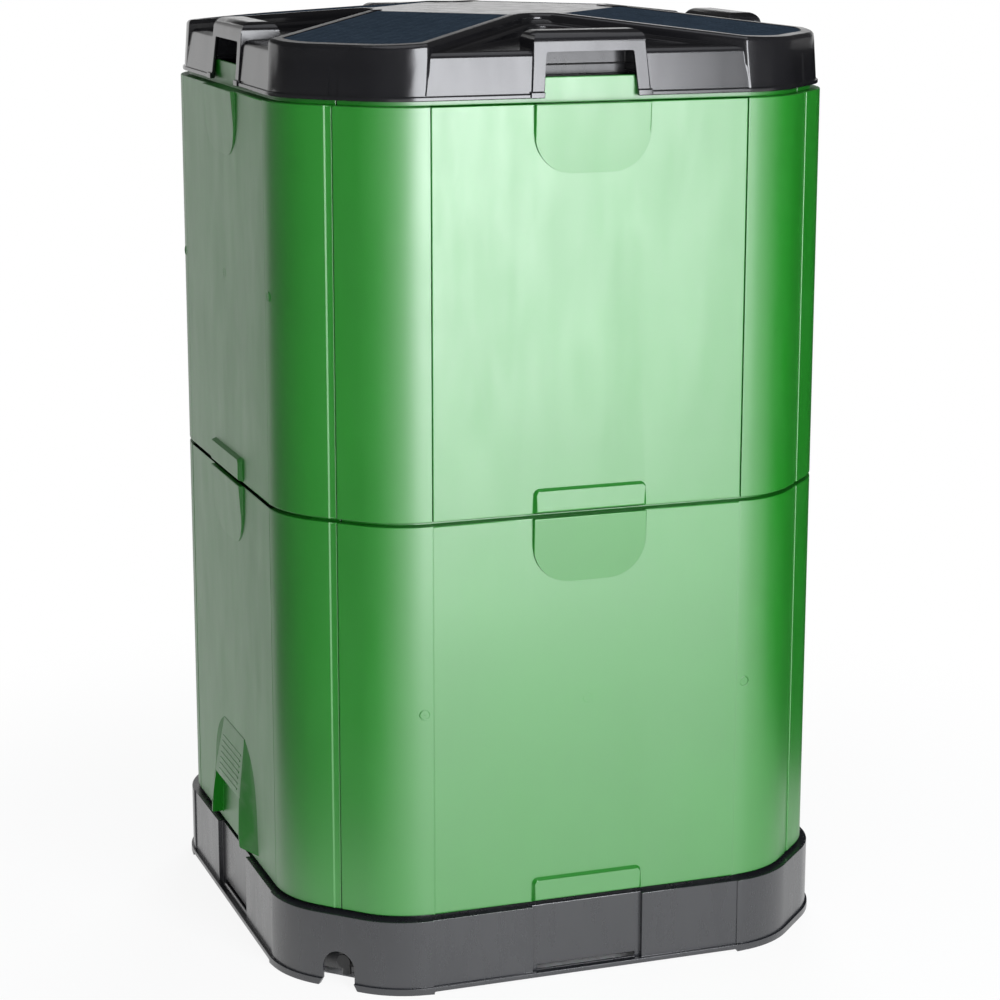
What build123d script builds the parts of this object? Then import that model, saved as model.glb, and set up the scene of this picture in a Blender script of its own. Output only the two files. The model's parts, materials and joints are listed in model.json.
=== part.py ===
from build123d import *
import os
from math import atan, degrees, pi, sin, sqrt

# Insulated compost bin: a black drain base, two tiers of foam-filled green wall panels and a lift-off lid.
# Millimetres, +Z up, origin on the ground under the bin's middle. The front is -Y and the left is -X.

# Plan of the walls
half_width = 358.0        # flat panel face, measured from the bin's axis
corner_leg = 110.0        # leg of the 45 degree corner cut
corner_radius = 112.0     # rounding between a flat face and a corner face

# Wall panels
panel_height = 490.0
skin = 3.0                # moulded wall of the green shells
liner_wall = 3.0          # moulded wall of the dark inner liners
shell_depth = 36.0        # front to back of a green shell
fit = 0.2                 # clearance between pieces assembled into one wall
seam = 1.0                # open joint between two panels at a corner
shadow_gap = 5.0          # open joint below the skin of each tier
seam_strip = 10.0         # stepped strip beside each corner joint
seam_step = 1.2

# Tongue and groove that locate each tier on the one below
tongue_inset = 12.0
tongue_wall = 3.0
tongue_height = 30.0
groove_play = 1.0
groove_headroom = 3.0

# Raised tab at the foot of each panel and raised ramp at its head
pad_half = 73.0
pad_proud = 6.0
pad_draft = 25.0
tab_height = 31.0
tab_corner = 8.0
ramp_length = 82.0
ramp_corner = 48.0
ramp_edge = 0.6
witness_width = 0.8       # fine mould line on each plain panel, in line with the leaves' edges
witness_depth = 0.3

# Door and insert leaves between the corner wings
leaf_half = 199.5
leaf_gap = 1.2
leaf_depth = 11.0
seat_gap = 0.4
plug_half = 168.0
plug_margin = 48.0        # leaf beyond the plug at its head and foot
plug_gap = 1.0

# Pull hood on each door
hood_top = 148.0
hood_bottom = 9.0
hood_mouth = 71.0         # lower edge of the hood's cover plate
hood_proud = 15.0
hood_front_top = 52.0     # half widths of the hood's front, head and foot
hood_front_bottom = 74.5
hood_root = 114.0         # half width of the hood's foot on the door
hood_cheek = 4.0
hood_lip = 0.6
hood_stations = (0.0, 0.16, 0.55, 1.0)  # shares of its height where the hood's section is drawn

# Drain base
base_height = 95.0
skirt_proud = 9.0
skirt_wall = 4.0
flange_proud = 12.0
flange_height = 9.0
foot_drop = 3.0           # corner feet below the flange of the sides
foot_inset = 154.0        # side end of a corner foot, in from the panel face
side_step = 1.5           # skirt of the sides behind the skirt of the corners
deck_thickness = 4.0
deck_overhang = 6.0       # deck inside the wall liners
recess_depth = 8.0
air_slot_height = 6.0
air_slot_margin = 7.0
arch_radius = 22.0
arch_spring = 25.0
arch_flare = 5.0

# Leachate tray and the drain floor inside the base
tray_inset = 30.0
tray_wall = 3.0
tray_rim = 22.0
tray_floor = 6.0
ledge_drop = 15.0         # floor ledge below the base's top
ledge_width = 17.0
floor_thickness = 4.0
floor_play = 1.0
floor_leg_radius = 20.0
floor_leg_pitch = 300.0
drain_slot_length = 62.0
drain_slot_width = 8.0
drain_rows = 8
drain_columns = 5
drain_pitch_x = 108.0
drain_pitch_y = 62.0
lung_port_half = 60.0     # open port in the floor under the lung
lift_hole_length = 90.0   # hand holes for lifting the floor out
lift_hole_width = 34.0
lift_hole_pitch = 372.0

# Drain tap in the front left corner
tap_height = 29.0
tap_thread_radius = 8.0
tap_thread_play = 0.3
tap_bore = 5.0
tap_flange_radius = 15.0
tap_flange = 3.0
tap_washer_thickness = 2.0
tap_barrel_radius = 9.0
tap_barrel = 21.0
tap_spout_radius = 6.0
tap_spout_bore = 4.0
tap_spout_drop = 18.0
tap_nose = 2.0            # barrel beyond the spout
tap_nut_thickness = 7.0
tap_nut_flats = 24.0
tap_boss_radius = 6.5
tap_boss_rise = 10.0
lever_pin_radius = 3.0
lever_pin_play = 0.05
lever_pin_depth = 7.0
lever_seat = 0.3
lever_hub_radius = 7.0
lever_thickness = 4.5
lever_length = 17.0
lever_width = 7.0

# Lid
lid_gap = 6.0             # open joint between the upper panels and the lid's flange
lid_flange = 5.0
lid_flange_inset = 3.0
lid_inset = 5.0           # foot of the lid's skirt inside the panel face
side_draft = 7.0          # lean of the skirt on a side, from its foot to its top
corner_draft = 4.0        # lean of the skirt at a corner over the same height
lid_wall = 3.0
skirt_rise = 55.0         # flange foot to the top of the skirt on a side
skirt_round = 8.0
corner_rise = 62.0        # flange foot to the top of the skirt at a corner
crown_rise = 87.0         # flange foot to the middle of the lid
crown_half = 106.0        # half width of the diagonal bands
crown_bend = 300.0        # rounding where a band's slope meets the level crown
band_turn = 30.0          # plan rounding between two bands
band_round = 6.0
terrace_width = 14.0
terrace_drop = 12.0
terrace_round = 4.0
valley_rise = 15.0        # rise of the sides' valleys from the brow of the skirt to the lid's middle
valley_margin = 1.5       # level rim between the brow and a valley
field_margin = 14.0       # smooth rim round the ribbed field on the bands
field_depth = 1.2
hoop_foot_half = 75.0     # half width of a hoop at its feet
hoop_half = 69.0          # half width at its brow
hoop_proud = 1.5          # foot of a hoop's face in front of the skirt's foot
hoop_lean = 8.0
hoop_rise = 77.0
hoop_depth = 54.0
hoop_corner = 12.0
hoop_brow = 15.0
hoop_foot = 7.0           # foot of a hoop's leg on the flange
hoop_foot_proud = 1.5
notch_half = 57.0         # half width of the finger pocket
notch_taper = 2.0         # opening wider at its foot and narrower at its top than the pocket
notch_corner = 3.0
notch_rise = 53.0
notch_depth = 36.0
notch_joint_rise = 36.0   # joint between shell and liner at the back of the finger pocket
notch_joint = 1.2
groove_width = 13.0
groove_rise = 30.0        # straight part of a corner groove, under its round top
groove_depth = 1.6
web_wall = 3.0
lid_seat = 0.3
plug_play = 3.0           # lid plug inside the wall liners
plug_drop = 18.0          # lid plug below the upper panels' top
boss_radius = 6.0
screw_radius = 2.0
screw_play = 0.2
screw_head_radius = 4.5
screw_head = 3.0
screw_length = 16.0
screw_inset = 36.0
screw_margin = 15.0       # screw line clear of the bands' terraces

# Aeration lung that stands in the middle of the bin
lung_half = 75.0
lung_wall = 3.0
lung_corner = 20.0
lung_headroom = 59.0      # cap of the lung to the lid's plug
lung_collar = 20.0
lung_rows = 7
lung_slot_length = 96.0
lung_slot_height = 14.0
lung_cap_rim = 4.0
lung_cap_wall = 4.0
lung_cap_skirt = 18.0

# Values worked out from the sizes above
face = -half_width
corner_growth = 2 - sqrt(2)
corner_distance = (2 * half_width - corner_leg) / sqrt(2)
wall_depth = shell_depth + fit + liner_wall
groove_web = tongue_inset + tongue_wall + groove_play
groove_roof = tongue_height - shadow_gap + groove_headroom
lower_tier = base_height + shadow_gap
upper_tier = lower_tier + panel_height + shadow_gap
rim_top = upper_tier + panel_height
plug_low = plug_margin
plug_high = panel_height - plug_margin
lid_low = rim_top + lid_gap
skirt_top = lid_low + skirt_rise
ledge_height = base_height - ledge_drop
floor_top = ledge_height + floor_thickness
plug_floor = rim_top - plug_drop
lung_section = (plug_floor - lung_headroom - lung_cap_wall - floor_top) / 2
lung_pitch = lung_section / (lung_rows + 1)
screw_reach = half_width - screw_inset
screw_side = screw_reach - (crown_half + terrace_width + screw_margin) * sqrt(2)
lid_lean = degrees(atan(corner_draft / skirt_rise))
UPRIGHT = (Align.CENTER, Align.CENTER, Align.MIN)
FRONT = Plane(origin=(0, face, 0), x_dir=(1, 0, 0), z_dir=(0, -1, 0))
CORNER = Plane(origin=(0, 0, 0), x_dir=(1, -1, 0), z_dir=(-1, -1, 0))

os.makedirs("parts", exist_ok=True)


def plan(grow):
    """Eight-sided rounded plan of the bin, grown outward from the panel faces."""
    with BuildSketch(mode=Mode.PRIVATE) as outline:
        Rectangle(2 * (half_width + grow), 2 * (half_width + grow))
        chamfer(outline.vertices(), corner_leg + grow * corner_growth)
        fillet(outline.vertices(), corner_radius + grow)
    return outline.sketch


def ring(outer, inner):
    """Plan ring between two growths of the bin's plan."""
    with BuildSketch(mode=Mode.PRIVATE) as outline:
        add(plan(outer))
        add(plan(inner), mode=Mode.SUBTRACT)
    return outline.sketch


def quarter(outer, inner, end_gap):
    """Front quarter of a plan ring, trimmed back from the two corner joints."""
    reach = 2 * half_width
    apex = -end_gap * sqrt(2)
    with BuildSketch(mode=Mode.PRIVATE) as outline:
        add(ring(outer, inner))
        with BuildLine():
            Polyline((0, apex), (reach, apex - reach), (-reach, apex - reach), close=True)
        make_face(mode=Mode.INTERSECT)
    return outline.sketch


def right_strip():
    """Plan of the shallow step beside a panel's right corner joint."""
    with BuildSketch(mode=Mode.PRIVATE) as strips:
        add(quarter(skin, -seam_step, seam / 2))
        add(quarter(2 * skin, -2 * skin, seam / 2 + seam_strip), mode=Mode.SUBTRACT)
    return strips.faces().sort_by(Axis.X)[-1]


def rise(profile, bottom, top, mode=Mode.ADD):
    """Extrude a plan profile between two heights in the sub-part that is open."""
    extrude(Pos(0, 0, bottom) * profile, amount=top - bottom, mode=mode)


def block(half, front, back, bottom, top, mode=Mode.ADD):
    """Box centred on X in the sub-part that is open; front and back are depths behind the panel face."""
    with Locations((0, face + (front + back) / 2, (bottom + top) / 2)):
        Box(2 * half, back - front, top - bottom, mode=mode)


def write(part, name):
    """Name a finished piece and write it to its own file."""
    part.label = name
    export_step(part, f"parts/{name}.step")


def placed(part, turn, height):
    """A panel piece turned to its side of the bin and raised to its tier."""
    return Pos(0, 0, height) * Rot(0, 0, turn) * part


def make_tab():
    """Raised tab at the foot of a panel, with drafted walls and rounded upper corners."""
    with BuildPart() as tab:
        with BuildSketch(FRONT) as outline:
            with Locations((0, tab_height / 2)):
                Rectangle(2 * pad_half, tab_height)
            fillet(outline.vertices().group_by(Axis.Y)[-1], tab_corner)
        extrude(amount=pad_proud, taper=pad_draft)
    return tab.part


def make_ramp():
    """Raised ramp at the head of a panel that fades into the face at a round lower end."""
    foot = panel_height - ramp_length
    with BuildPart() as ramp:
        with BuildSketch(Plane.YZ):
            with BuildLine():
                Polyline(
                    (face, panel_height),
                    (face - pad_proud, panel_height),
                    (face - ramp_edge, foot),
                    (face, foot),
                    close=True,
                )
            make_face()
        extrude(amount=pad_half, both=True)
        with BuildSketch(FRONT) as outline:
            with Locations((0, panel_height - ramp_length / 2)):
                Rectangle(2 * pad_half, ramp_length)
            fillet(outline.vertices().group_by(Axis.Y)[0], ramp_corner)
        extrude(amount=pad_proud, mode=Mode.INTERSECT)
    return ramp.part


def make_hood():
    """Pull hood of a door: flared cheeks, a bowed cover plate and an open mouth for the fingers."""
    drop = hood_top - hood_bottom
    front_spread = hood_front_bottom - hood_front_top
    mouth_share = (hood_top - hood_mouth) / drop
    mouth_depth = hood_proud * sin(mouth_share * pi / 2) - skin
    with BuildPart() as hood:
        for share in hood_stations:
            level = hood_top - share * drop
            front = hood_front_top + share * front_spread
            flare = (hood_root - hood_front_top) * sqrt(1 - (1 - share) ** 2)
            proud = max(hood_lip, hood_proud * sin(share * pi / 2))
            with BuildSketch(Plane.XY.offset(level)):
                with BuildLine():
                    Polyline(
                        (-hood_front_top - flare - hood_lip, face),
                        (-front, face - proud),
                        (front, face - proud),
                        (hood_front_top + flare + hood_lip, face),
                        close=True,
                    )
                make_face()
        loft()
        with BuildSketch(FRONT):
            with BuildLine():
                Polyline(
                    (-hood_front_bottom + hood_cheek, hood_bottom),
                    (hood_front_bottom - hood_cheek, hood_bottom),
                    (hood_front_top + mouth_share * front_spread - hood_cheek, hood_mouth),
                    (-hood_front_top - mouth_share * front_spread + hood_cheek, hood_mouth),
                    close=True,
                )
            make_face()
        extrude(amount=2 * hood_proud, mode=Mode.SUBTRACT)
        with BuildSketch(Plane.YZ):
            with BuildLine():
                Polyline(
                    (face, hood_mouth),
                    (face - mouth_depth, hood_mouth),
                    (face, hood_top - 2 * skin),
                    close=True,
                )
            make_face()
        extrude(amount=hood_front_top - hood_cheek, both=True, mode=Mode.SUBTRACT)
    return hood.part


def panel_foam(clearance, back, opening):
    """Foam space of a wall panel, drawn in by a clearance, around a leaf opening where there is one."""
    ends = seam / 2 + skin + clearance
    roof = groove_roof + skin + clearance
    with BuildPart() as foam:
        rise(quarter(-skin - clearance, -back, ends), roof, panel_height - skin - clearance)
        rise(quarter(-groove_web - skin - clearance, -back, ends), skin - shadow_gap + clearance, roof)
        if opening:
            wing = leaf_half + leaf_gap + skin + clearance
            block(wing, -skin, leaf_depth + seat_gap + skin + clearance, -skin, panel_height, Mode.SUBTRACT)
            jamb = plug_half + plug_gap + skin + clearance
            sill = plug_low - plug_gap - skin - clearance
            head = plug_high + plug_gap + skin + clearance
            block(jamb, 0, 2 * wall_depth, sill, head, Mode.SUBTRACT)
    return foam.part


def make_panel_shell(opening):
    """Green shell of a wall panel: a deep tray with a tongue above and a groove below."""
    with BuildPart() as shell:
        rise(quarter(0, -shell_depth, seam / 2), 0, panel_height)
        rise(quarter(-groove_web, -shell_depth, seam / 2), -shadow_gap, 0)
        rise(
            quarter(-tongue_inset, -tongue_inset - tongue_wall, seam / 2),
            panel_height,
            panel_height + tongue_height,
        )
        add(panel_foam(0, shell_depth + skin, opening), mode=Mode.SUBTRACT)
        rise(quarter(-skin, -groove_web, -skin), -skin, groove_roof, Mode.SUBTRACT)
        rise(right_strip(), -skin, panel_height + skin, Mode.SUBTRACT)
        if opening:
            block(leaf_half + leaf_gap, -skin, leaf_depth + seat_gap, -skin, panel_height, Mode.SUBTRACT)
            block(
                plug_half + plug_gap,
                0,
                2 * wall_depth,
                plug_low - plug_gap,
                plug_high + plug_gap,
                Mode.SUBTRACT,
            )
        else:
            add(make_tab())
            add(make_ramp())
            with Locations(*[(side * leaf_half, face, panel_height / 2) for side in (-1, 1)]):
                Box(witness_width, 2 * witness_depth, panel_height, mode=Mode.SUBTRACT)
    return shell.part


def make_panel_core(opening):
    """Foam that fills a wall panel between its shell and its liner."""
    with BuildPart() as core:
        add(panel_foam(fit, shell_depth, opening))
    return core.part


def make_panel_liner(opening):
    """Dark inner sheet of a wall panel, cut out round a leaf's plug where there is one."""
    with BuildPart() as liner:
        rise(quarter(-shell_depth - fit, -wall_depth, seam / 2), -shadow_gap, panel_height)
        if opening:
            block(
                plug_half + plug_gap,
                0,
                2 * wall_depth,
                plug_low - plug_gap,
                plug_high + plug_gap,
                Mode.SUBTRACT,
            )
    return liner.part


def make_leaf_shell(hooded):
    """Green tray of a door or insert, with the pull hood on a door and the tab on an insert."""
    with BuildPart() as shell:
        block(leaf_half, 0, leaf_depth, 0, panel_height)
        block(leaf_half - skin, skin, 2 * leaf_depth, skin, panel_height - skin, Mode.SUBTRACT)
        add(make_ramp())
        if hooded:
            add(make_hood())
        else:
            add(make_tab())
    return shell.part


def make_leaf_core():
    """Foam of a door or insert, with the thick plug behind its flat leaf."""
    inner = leaf_half - skin - fit
    with BuildPart() as core:
        block(inner, skin + fit, leaf_depth - liner_wall - fit, skin + fit, panel_height - skin - fit)
        block(
            plug_half - liner_wall - fit,
            skin + fit,
            wall_depth - liner_wall - fit,
            plug_low + liner_wall + fit,
            plug_high - liner_wall - fit,
        )
    return core.part


def make_leaf_liner():
    """Dark back pan of a door or insert: a flat sheet with a tub for the plug."""
    with BuildPart() as liner:
        block(
            leaf_half - skin - fit,
            leaf_depth - liner_wall,
            leaf_depth,
            skin + fit,
            panel_height - skin - fit,
        )
        block(plug_half, leaf_depth, wall_depth, plug_low, plug_high)
        block(
            plug_half - liner_wall,
            0,
            wall_depth - liner_wall,
            plug_low + liner_wall,
            plug_high - liner_wall,
            Mode.SUBTRACT,
        )
    return liner.part


# Drain base: skirt, ground flange, deck and the upstand that locates the lower tier
with BuildPart() as base_skirt:
    rise(ring(skirt_proud, skirt_proud - skirt_wall), 0, base_height)
    rise(ring(flange_proud, skirt_proud - skirt_wall), 0, flange_height)
    rise(ring(skirt_proud, -wall_depth - deck_overhang), base_height - deck_thickness, base_height)
    rise(ring(-tongue_inset, -tongue_inset - tongue_wall), base_height, base_height + tongue_height)
    recess_back = half_width + skirt_proud - recess_depth
    with PolarLocations(recess_back - skirt_wall / 2, 4):
        with Locations((0, 0, base_height / 2)):
            Box(skirt_wall, 2 * (pad_half + skirt_wall), base_height)
    for side in (-1, 1):
        cheek = side * (pad_half + skirt_wall / 2)
        with PolarLocations(half_width + skirt_proud - recess_depth / 2 - skirt_wall, 4):
            with Locations((0, cheek, base_height / 2)):
                Box(recess_depth, skirt_wall, base_height)
    with PolarLocations(recess_back + flange_proud / 2, 4):
        with Locations((0, 0, flange_height + base_height / 2)):
            Box(flange_proud, 2 * pad_half, base_height, mode=Mode.SUBTRACT)
    with PolarLocations(recess_back, 4):
        with Locations((0, 0, flange_height + air_slot_height / 2)):
            Box(4 * skirt_wall, 2 * (pad_half - air_slot_margin), air_slot_height, mode=Mode.SUBTRACT)
    side_span = 2 * (half_width - foot_inset)
    with PolarLocations(half_width + skirt_proud, 4):
        with Locations((0, 0, flange_height + base_height / 2)):
            Box(2 * side_step, side_span, base_height, mode=Mode.SUBTRACT)
    with PolarLocations(half_width + flange_proud / 2, 4):
        with Locations((0, 0, foot_drop / 2)):
            Box(2 * flange_proud, side_span, foot_drop, mode=Mode.SUBTRACT)
    with BuildSketch(CORNER.offset(corner_distance)):
        with Locations((0, arch_spring)):
            Circle(arch_radius)
        with Locations((0, arch_spring / 2)):
            Rectangle(2 * arch_radius, arch_spring)
        with BuildLine():
            Polyline(
                (-arch_radius - arch_flare, 0),
                (arch_radius + arch_flare, 0),
                (arch_radius, flange_height),
                (-arch_radius, flange_height),
                close=True,
            )
        make_face()
    extrude(amount=2 * flange_proud, mode=Mode.SUBTRACT)
write(base_skirt.part, "base_skirt")

# Tray that catches the liquid under the drain floor
tray_inner = tray_inset + tray_wall
tray_top = base_height - deck_thickness
with BuildPart() as leachate_tray:
    rise(ring(-tray_inset, -tray_inner), tray_floor, tray_top)
    rise(plan(-tray_inner), tray_floor, tray_floor + tray_wall)
    rise(ring(tray_rim - tray_inset, -tray_inner), tray_top - tray_wall, tray_top)
    rise(ring(-tray_inner, -tray_inner - ledge_width), ledge_height - tray_wall, ledge_height)
    with BuildSketch(CORNER.offset(corner_distance - tray_inset)):
        with Locations((0, tap_height)):
            Circle(tap_thread_radius + tap_thread_play)
    extrude(amount=-2 * tray_wall, mode=Mode.SUBTRACT)
write(leachate_tray.part, "leachate_tray")

# Slotted floor that carries the compost over the tray
with BuildPart() as drain_floor:
    rise(plan(-tray_inner - floor_play), ledge_height, floor_top)
    with GridLocations(floor_leg_pitch, floor_leg_pitch, 2, 2):
        with Locations((0, 0, (tray_floor + tray_wall + ledge_height) / 2)):
            Cylinder(floor_leg_radius, ledge_height - tray_floor - tray_wall)
    with BuildSketch(Plane.XY.offset(ledge_height)):
        with GridLocations(drain_pitch_x, drain_pitch_y, drain_columns, drain_rows):
            Rectangle(drain_slot_length, drain_slot_width)
        with GridLocations(floor_leg_pitch, floor_leg_pitch, 2, 2):
            Circle(floor_leg_radius, mode=Mode.SUBTRACT)
        Rectangle(2 * lung_half, 2 * lung_half, mode=Mode.SUBTRACT)
        Rectangle(2 * lung_port_half, 2 * lung_port_half)
        with GridLocations(0, lift_hole_pitch, 1, 2):
            RectangleRounded(lift_hole_length, lift_hole_width, lift_hole_width / 3)
    extrude(amount=floor_thickness, mode=Mode.SUBTRACT)
write(drain_floor.part, "drain_floor")

# Drain tap through the tray's corner wall, behind the arch in the skirt
tap_wall = corner_distance - tray_inset
tap_seat = tap_wall + tap_washer_thickness
tap_front = tap_seat + tap_flange + tap_barrel
tap_tail = tap_wall - tray_wall - tap_nut_thickness - tap_flange
tap_valve = tap_seat + tap_flange + lever_hub_radius + 2 * lever_seat
tap_outlet = tap_front - tap_spout_radius - tap_nose
boss_top = tap_height + tap_barrel_radius + tap_boss_rise - tap_boss_radius
CORNER_X = -1 / sqrt(2)


def on_corner(distance, level):
    """Point on the front left corner's middle line."""
    return (CORNER_X * distance, CORNER_X * distance, level)


with BuildPart() as tap_body:
    with BuildSketch(CORNER.offset(tap_tail)):
        with Locations((0, tap_height)):
            Circle(tap_thread_radius)
    extrude(amount=tap_seat - tap_tail)
    with BuildSketch(CORNER.offset(tap_seat)):
        with Locations((0, tap_height)):
            Circle(tap_flange_radius)
    extrude(amount=tap_flange)
    with BuildSketch(CORNER.offset(tap_seat)):
        with Locations((0, tap_height)):
            Circle(tap_barrel_radius)
    extrude(amount=tap_front - tap_seat)
    with Locations(on_corner(tap_outlet, tap_height - tap_spout_drop / 2)):
        Cylinder(tap_spout_radius, tap_spout_drop)
    with Locations(on_corner(tap_valve, (tap_height + boss_top) / 2)):
        Cylinder(tap_boss_radius, boss_top - tap_height)
    with BuildSketch(CORNER.offset(tap_tail)):
        with Locations((0, tap_height)):
            Circle(tap_bore)
    extrude(amount=tap_outlet - tap_tail, mode=Mode.SUBTRACT)
    with Locations(on_corner(tap_outlet, tap_height - tap_spout_drop / 2)):
        Cylinder(tap_spout_bore, tap_spout_drop, mode=Mode.SUBTRACT)
    with Locations(on_corner(tap_valve, boss_top - lever_pin_depth / 2)):
        Cylinder(lever_pin_radius + lever_pin_play, lever_pin_depth, mode=Mode.SUBTRACT)
write(tap_body.part, "tap_body")

with BuildPart() as tap_washer:
    with BuildSketch(CORNER.offset(tap_wall)):
        with Locations((0, tap_height)):
            Circle(tap_flange_radius)
            Circle(tap_thread_radius + tap_thread_play, mode=Mode.SUBTRACT)
    extrude(amount=tap_washer_thickness)
write(tap_washer.part, "tap_washer")

with BuildPart() as tap_nut:
    with BuildSketch(CORNER.offset(tap_wall - tray_wall)):
        with Locations((0, tap_height)):
            RegularPolygon(tap_nut_flats / 2, 6, major_radius=False)
            Circle(tap_thread_radius + tap_thread_play, mode=Mode.SUBTRACT)
    extrude(amount=-tap_nut_thickness)
write(tap_nut.part, "tap_nut")

lever_low = boss_top + lever_seat
with BuildPart() as tap_lever:
    with Locations(on_corner(tap_valve, lever_low + lever_thickness / 2)):
        Cylinder(lever_hub_radius, lever_thickness)
    with BuildSketch(Plane(origin=on_corner(tap_valve, lever_low), x_dir=(-1, -1, 0))):
        with Locations((lever_length / 2, 0)):
            SlotOverall(lever_length + lever_width, lever_width)
    extrude(amount=lever_thickness)
    pin_length = lever_pin_depth - lever_seat
    with Locations(on_corner(tap_valve, lever_low - pin_length / 2)):
        Cylinder(lever_pin_radius, pin_length)
write(tap_lever.part, "tap_lever")

# Wall panels: plain ones and door frames below, the other way round above
plain_shell = make_panel_shell(opening=False)
plain_core = make_panel_core(opening=False)
plain_liner = make_panel_liner(opening=False)
frame_shell = make_panel_shell(opening=True)
frame_core = make_panel_core(opening=True)
frame_liner = make_panel_liner(opening=True)
leaf_core = make_leaf_core()
leaf_liner = make_leaf_liner()
door_shell = make_leaf_shell(hooded=True)
insert_shell = make_leaf_shell(hooded=False)
turns = {"front": 0, "right": 90, "back": 180, "left": 270}

for tier, height, plain_sides, leaf_sides in (
    ("lower", lower_tier, ("front", "back"), ("left", "right")),
    ("upper", upper_tier, ("left", "right"), ("front", "back")),
):
    for side in plain_sides:
        write(placed(plain_shell, turns[side], height), f"{tier}_{side}_shell")
        write(placed(plain_core, turns[side], height), f"{tier}_{side}_core")
        write(placed(plain_liner, turns[side], height), f"{tier}_{side}_liner")
    for side in leaf_sides:
        leaf = f"{side}_door" if tier == "lower" else f"{side}_insert"
        leaf_shell = door_shell if tier == "lower" else insert_shell
        write(placed(frame_shell, turns[side], height), f"{tier}_{side}_frame")
        write(placed(frame_core, turns[side], height), f"{tier}_{side}_frame_core")
        write(placed(frame_liner, turns[side], height), f"{tier}_{side}_frame_liner")
        write(placed(leaf_shell, turns[side], height), f"{leaf}_shell")
        write(placed(leaf_core, turns[side], height), f"{leaf}_core")
        write(placed(leaf_liner, turns[side], height), f"{leaf}_liner")


def lid_cross(half, turn):
    """Plan of the lid's two crossing diagonal bands, with rounded inner corners."""
    with BuildSketch(mode=Mode.PRIVATE) as cross:
        for angle in (45, -45):
            Rectangle(4 * half_width, 2 * half, rotation=angle)
        fillet(cross.vertices().sort_by_distance((0, 0))[:4], turn)
    return cross.sketch


def lid_slope(drop):
    """Side view of a diagonal band: level at the crown, then sloping down to the corners."""
    bend = crown_half + band_turn
    with BuildSketch(mode=Mode.PRIVATE) as slope:
        with BuildLine():
            Polyline(
                (-corner_distance, lid_low),
                (-corner_distance, lid_low + corner_rise - drop),
                (-bend, lid_low + crown_rise - drop),
                (bend, lid_low + crown_rise - drop),
                (corner_distance, lid_low + corner_rise - drop),
                (corner_distance, lid_low),
                close=True,
            )
        make_face()
        fillet(slope.vertices().group_by(Axis.Y)[-1], crown_bend)
    return slope.sketch


def lid_frustum(inset, draft, top):
    """Plan of the lid carried up from its foot with a lean."""
    with BuildPart() as frustum:
        with BuildSketch(Plane.XY.offset(lid_low)):
            add(plan(-lid_inset - inset))
        with BuildSketch(Plane.XY.offset(top)):
            add(plan(-lid_inset - inset - draft))
        loft(ruled=True)
    return frustum.part


def top_rim(form):
    """Edges round the top of a lid form, where its walls end."""
    walls = form.faces().filter_by(lambda wall: abs(wall.normal_at().Z) < sin(pi / 4))
    edges = [edge for wall in walls for edge in wall.edges()]
    return [edge for edge in edges if edge.bounding_box().min.Z > lid_low + lid_flange]


def lid_skirt(inset):
    """Body of the lid up to the top of its leaning sides, with a round brow."""
    with BuildPart() as skirt:
        add(lid_frustum(inset, side_draft, skirt_top - inset))
        fillet(top_rim(skirt), skirt_round - inset)
    return skirt.part


def lid_valleys(inset):
    """Shallow pyramid on top of the skirt, seen in the valleys between the bands."""
    edge = half_width - lid_inset - side_draft - skirt_round - valley_margin - inset
    low = skirt_top - inset
    with BuildPart() as valleys:
        for level, half in ((low - skirt_round, edge), (low, edge), (low + valley_rise, lid_wall)):
            with BuildSketch(Plane.XY.offset(level)):
                Rectangle(2 * half, 2 * half)
        loft(ruled=True)
        corners = plan(-lid_inset - side_draft - valley_margin - inset)
        rise(corners, lid_low, lid_low + crown_rise, Mode.INTERSECT)
    return valleys.part


def lid_bands(inset, half, drop, rounding, setback):
    """Two crossing diagonal bands that rise from the lid's corners to its crown."""
    lean = corner_draft * crown_rise / skirt_rise
    with BuildPart() as bands:
        rise(lid_cross(half - inset, band_turn + inset), lid_low, lid_low + crown_rise)
        for angle in (45, -45):
            side_view = Plane.XZ.rotated((0, 0, angle)) * lid_slope(drop + inset)
            extrude(side_view, amount=2 * half_width, both=True, mode=Mode.INTERSECT)
        add(lid_frustum(inset + setback, lean, lid_low + crown_rise), mode=Mode.INTERSECT)
        fillet(top_rim(bands), rounding - inset)
    return bands.part


def lid_field():
    """Shallow field that is sunk into the tops of the bands, inside their smooth rims."""
    foot = lid_low + skirt_rise / 2
    end_inset = lid_inset + corner_draft * crown_rise / skirt_rise + field_margin
    with BuildPart() as below:
        rise(lid_cross(crown_half - field_margin, band_turn + field_margin), foot, lid_low + crown_rise)
        rise(plan(-end_inset), foot, lid_low + crown_rise, Mode.INTERSECT)
    with BuildPart() as floor:
        add(below.part)
        for angle in (45, -45):
            side_view = Plane.XZ.rotated((0, 0, angle)) * lid_slope(field_depth)
            extrude(side_view, amount=2 * half_width, both=True, mode=Mode.INTERSECT)
    with BuildPart() as field:
        add(below.part)
        add(floor.part, mode=Mode.SUBTRACT)
    return field.part


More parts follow.
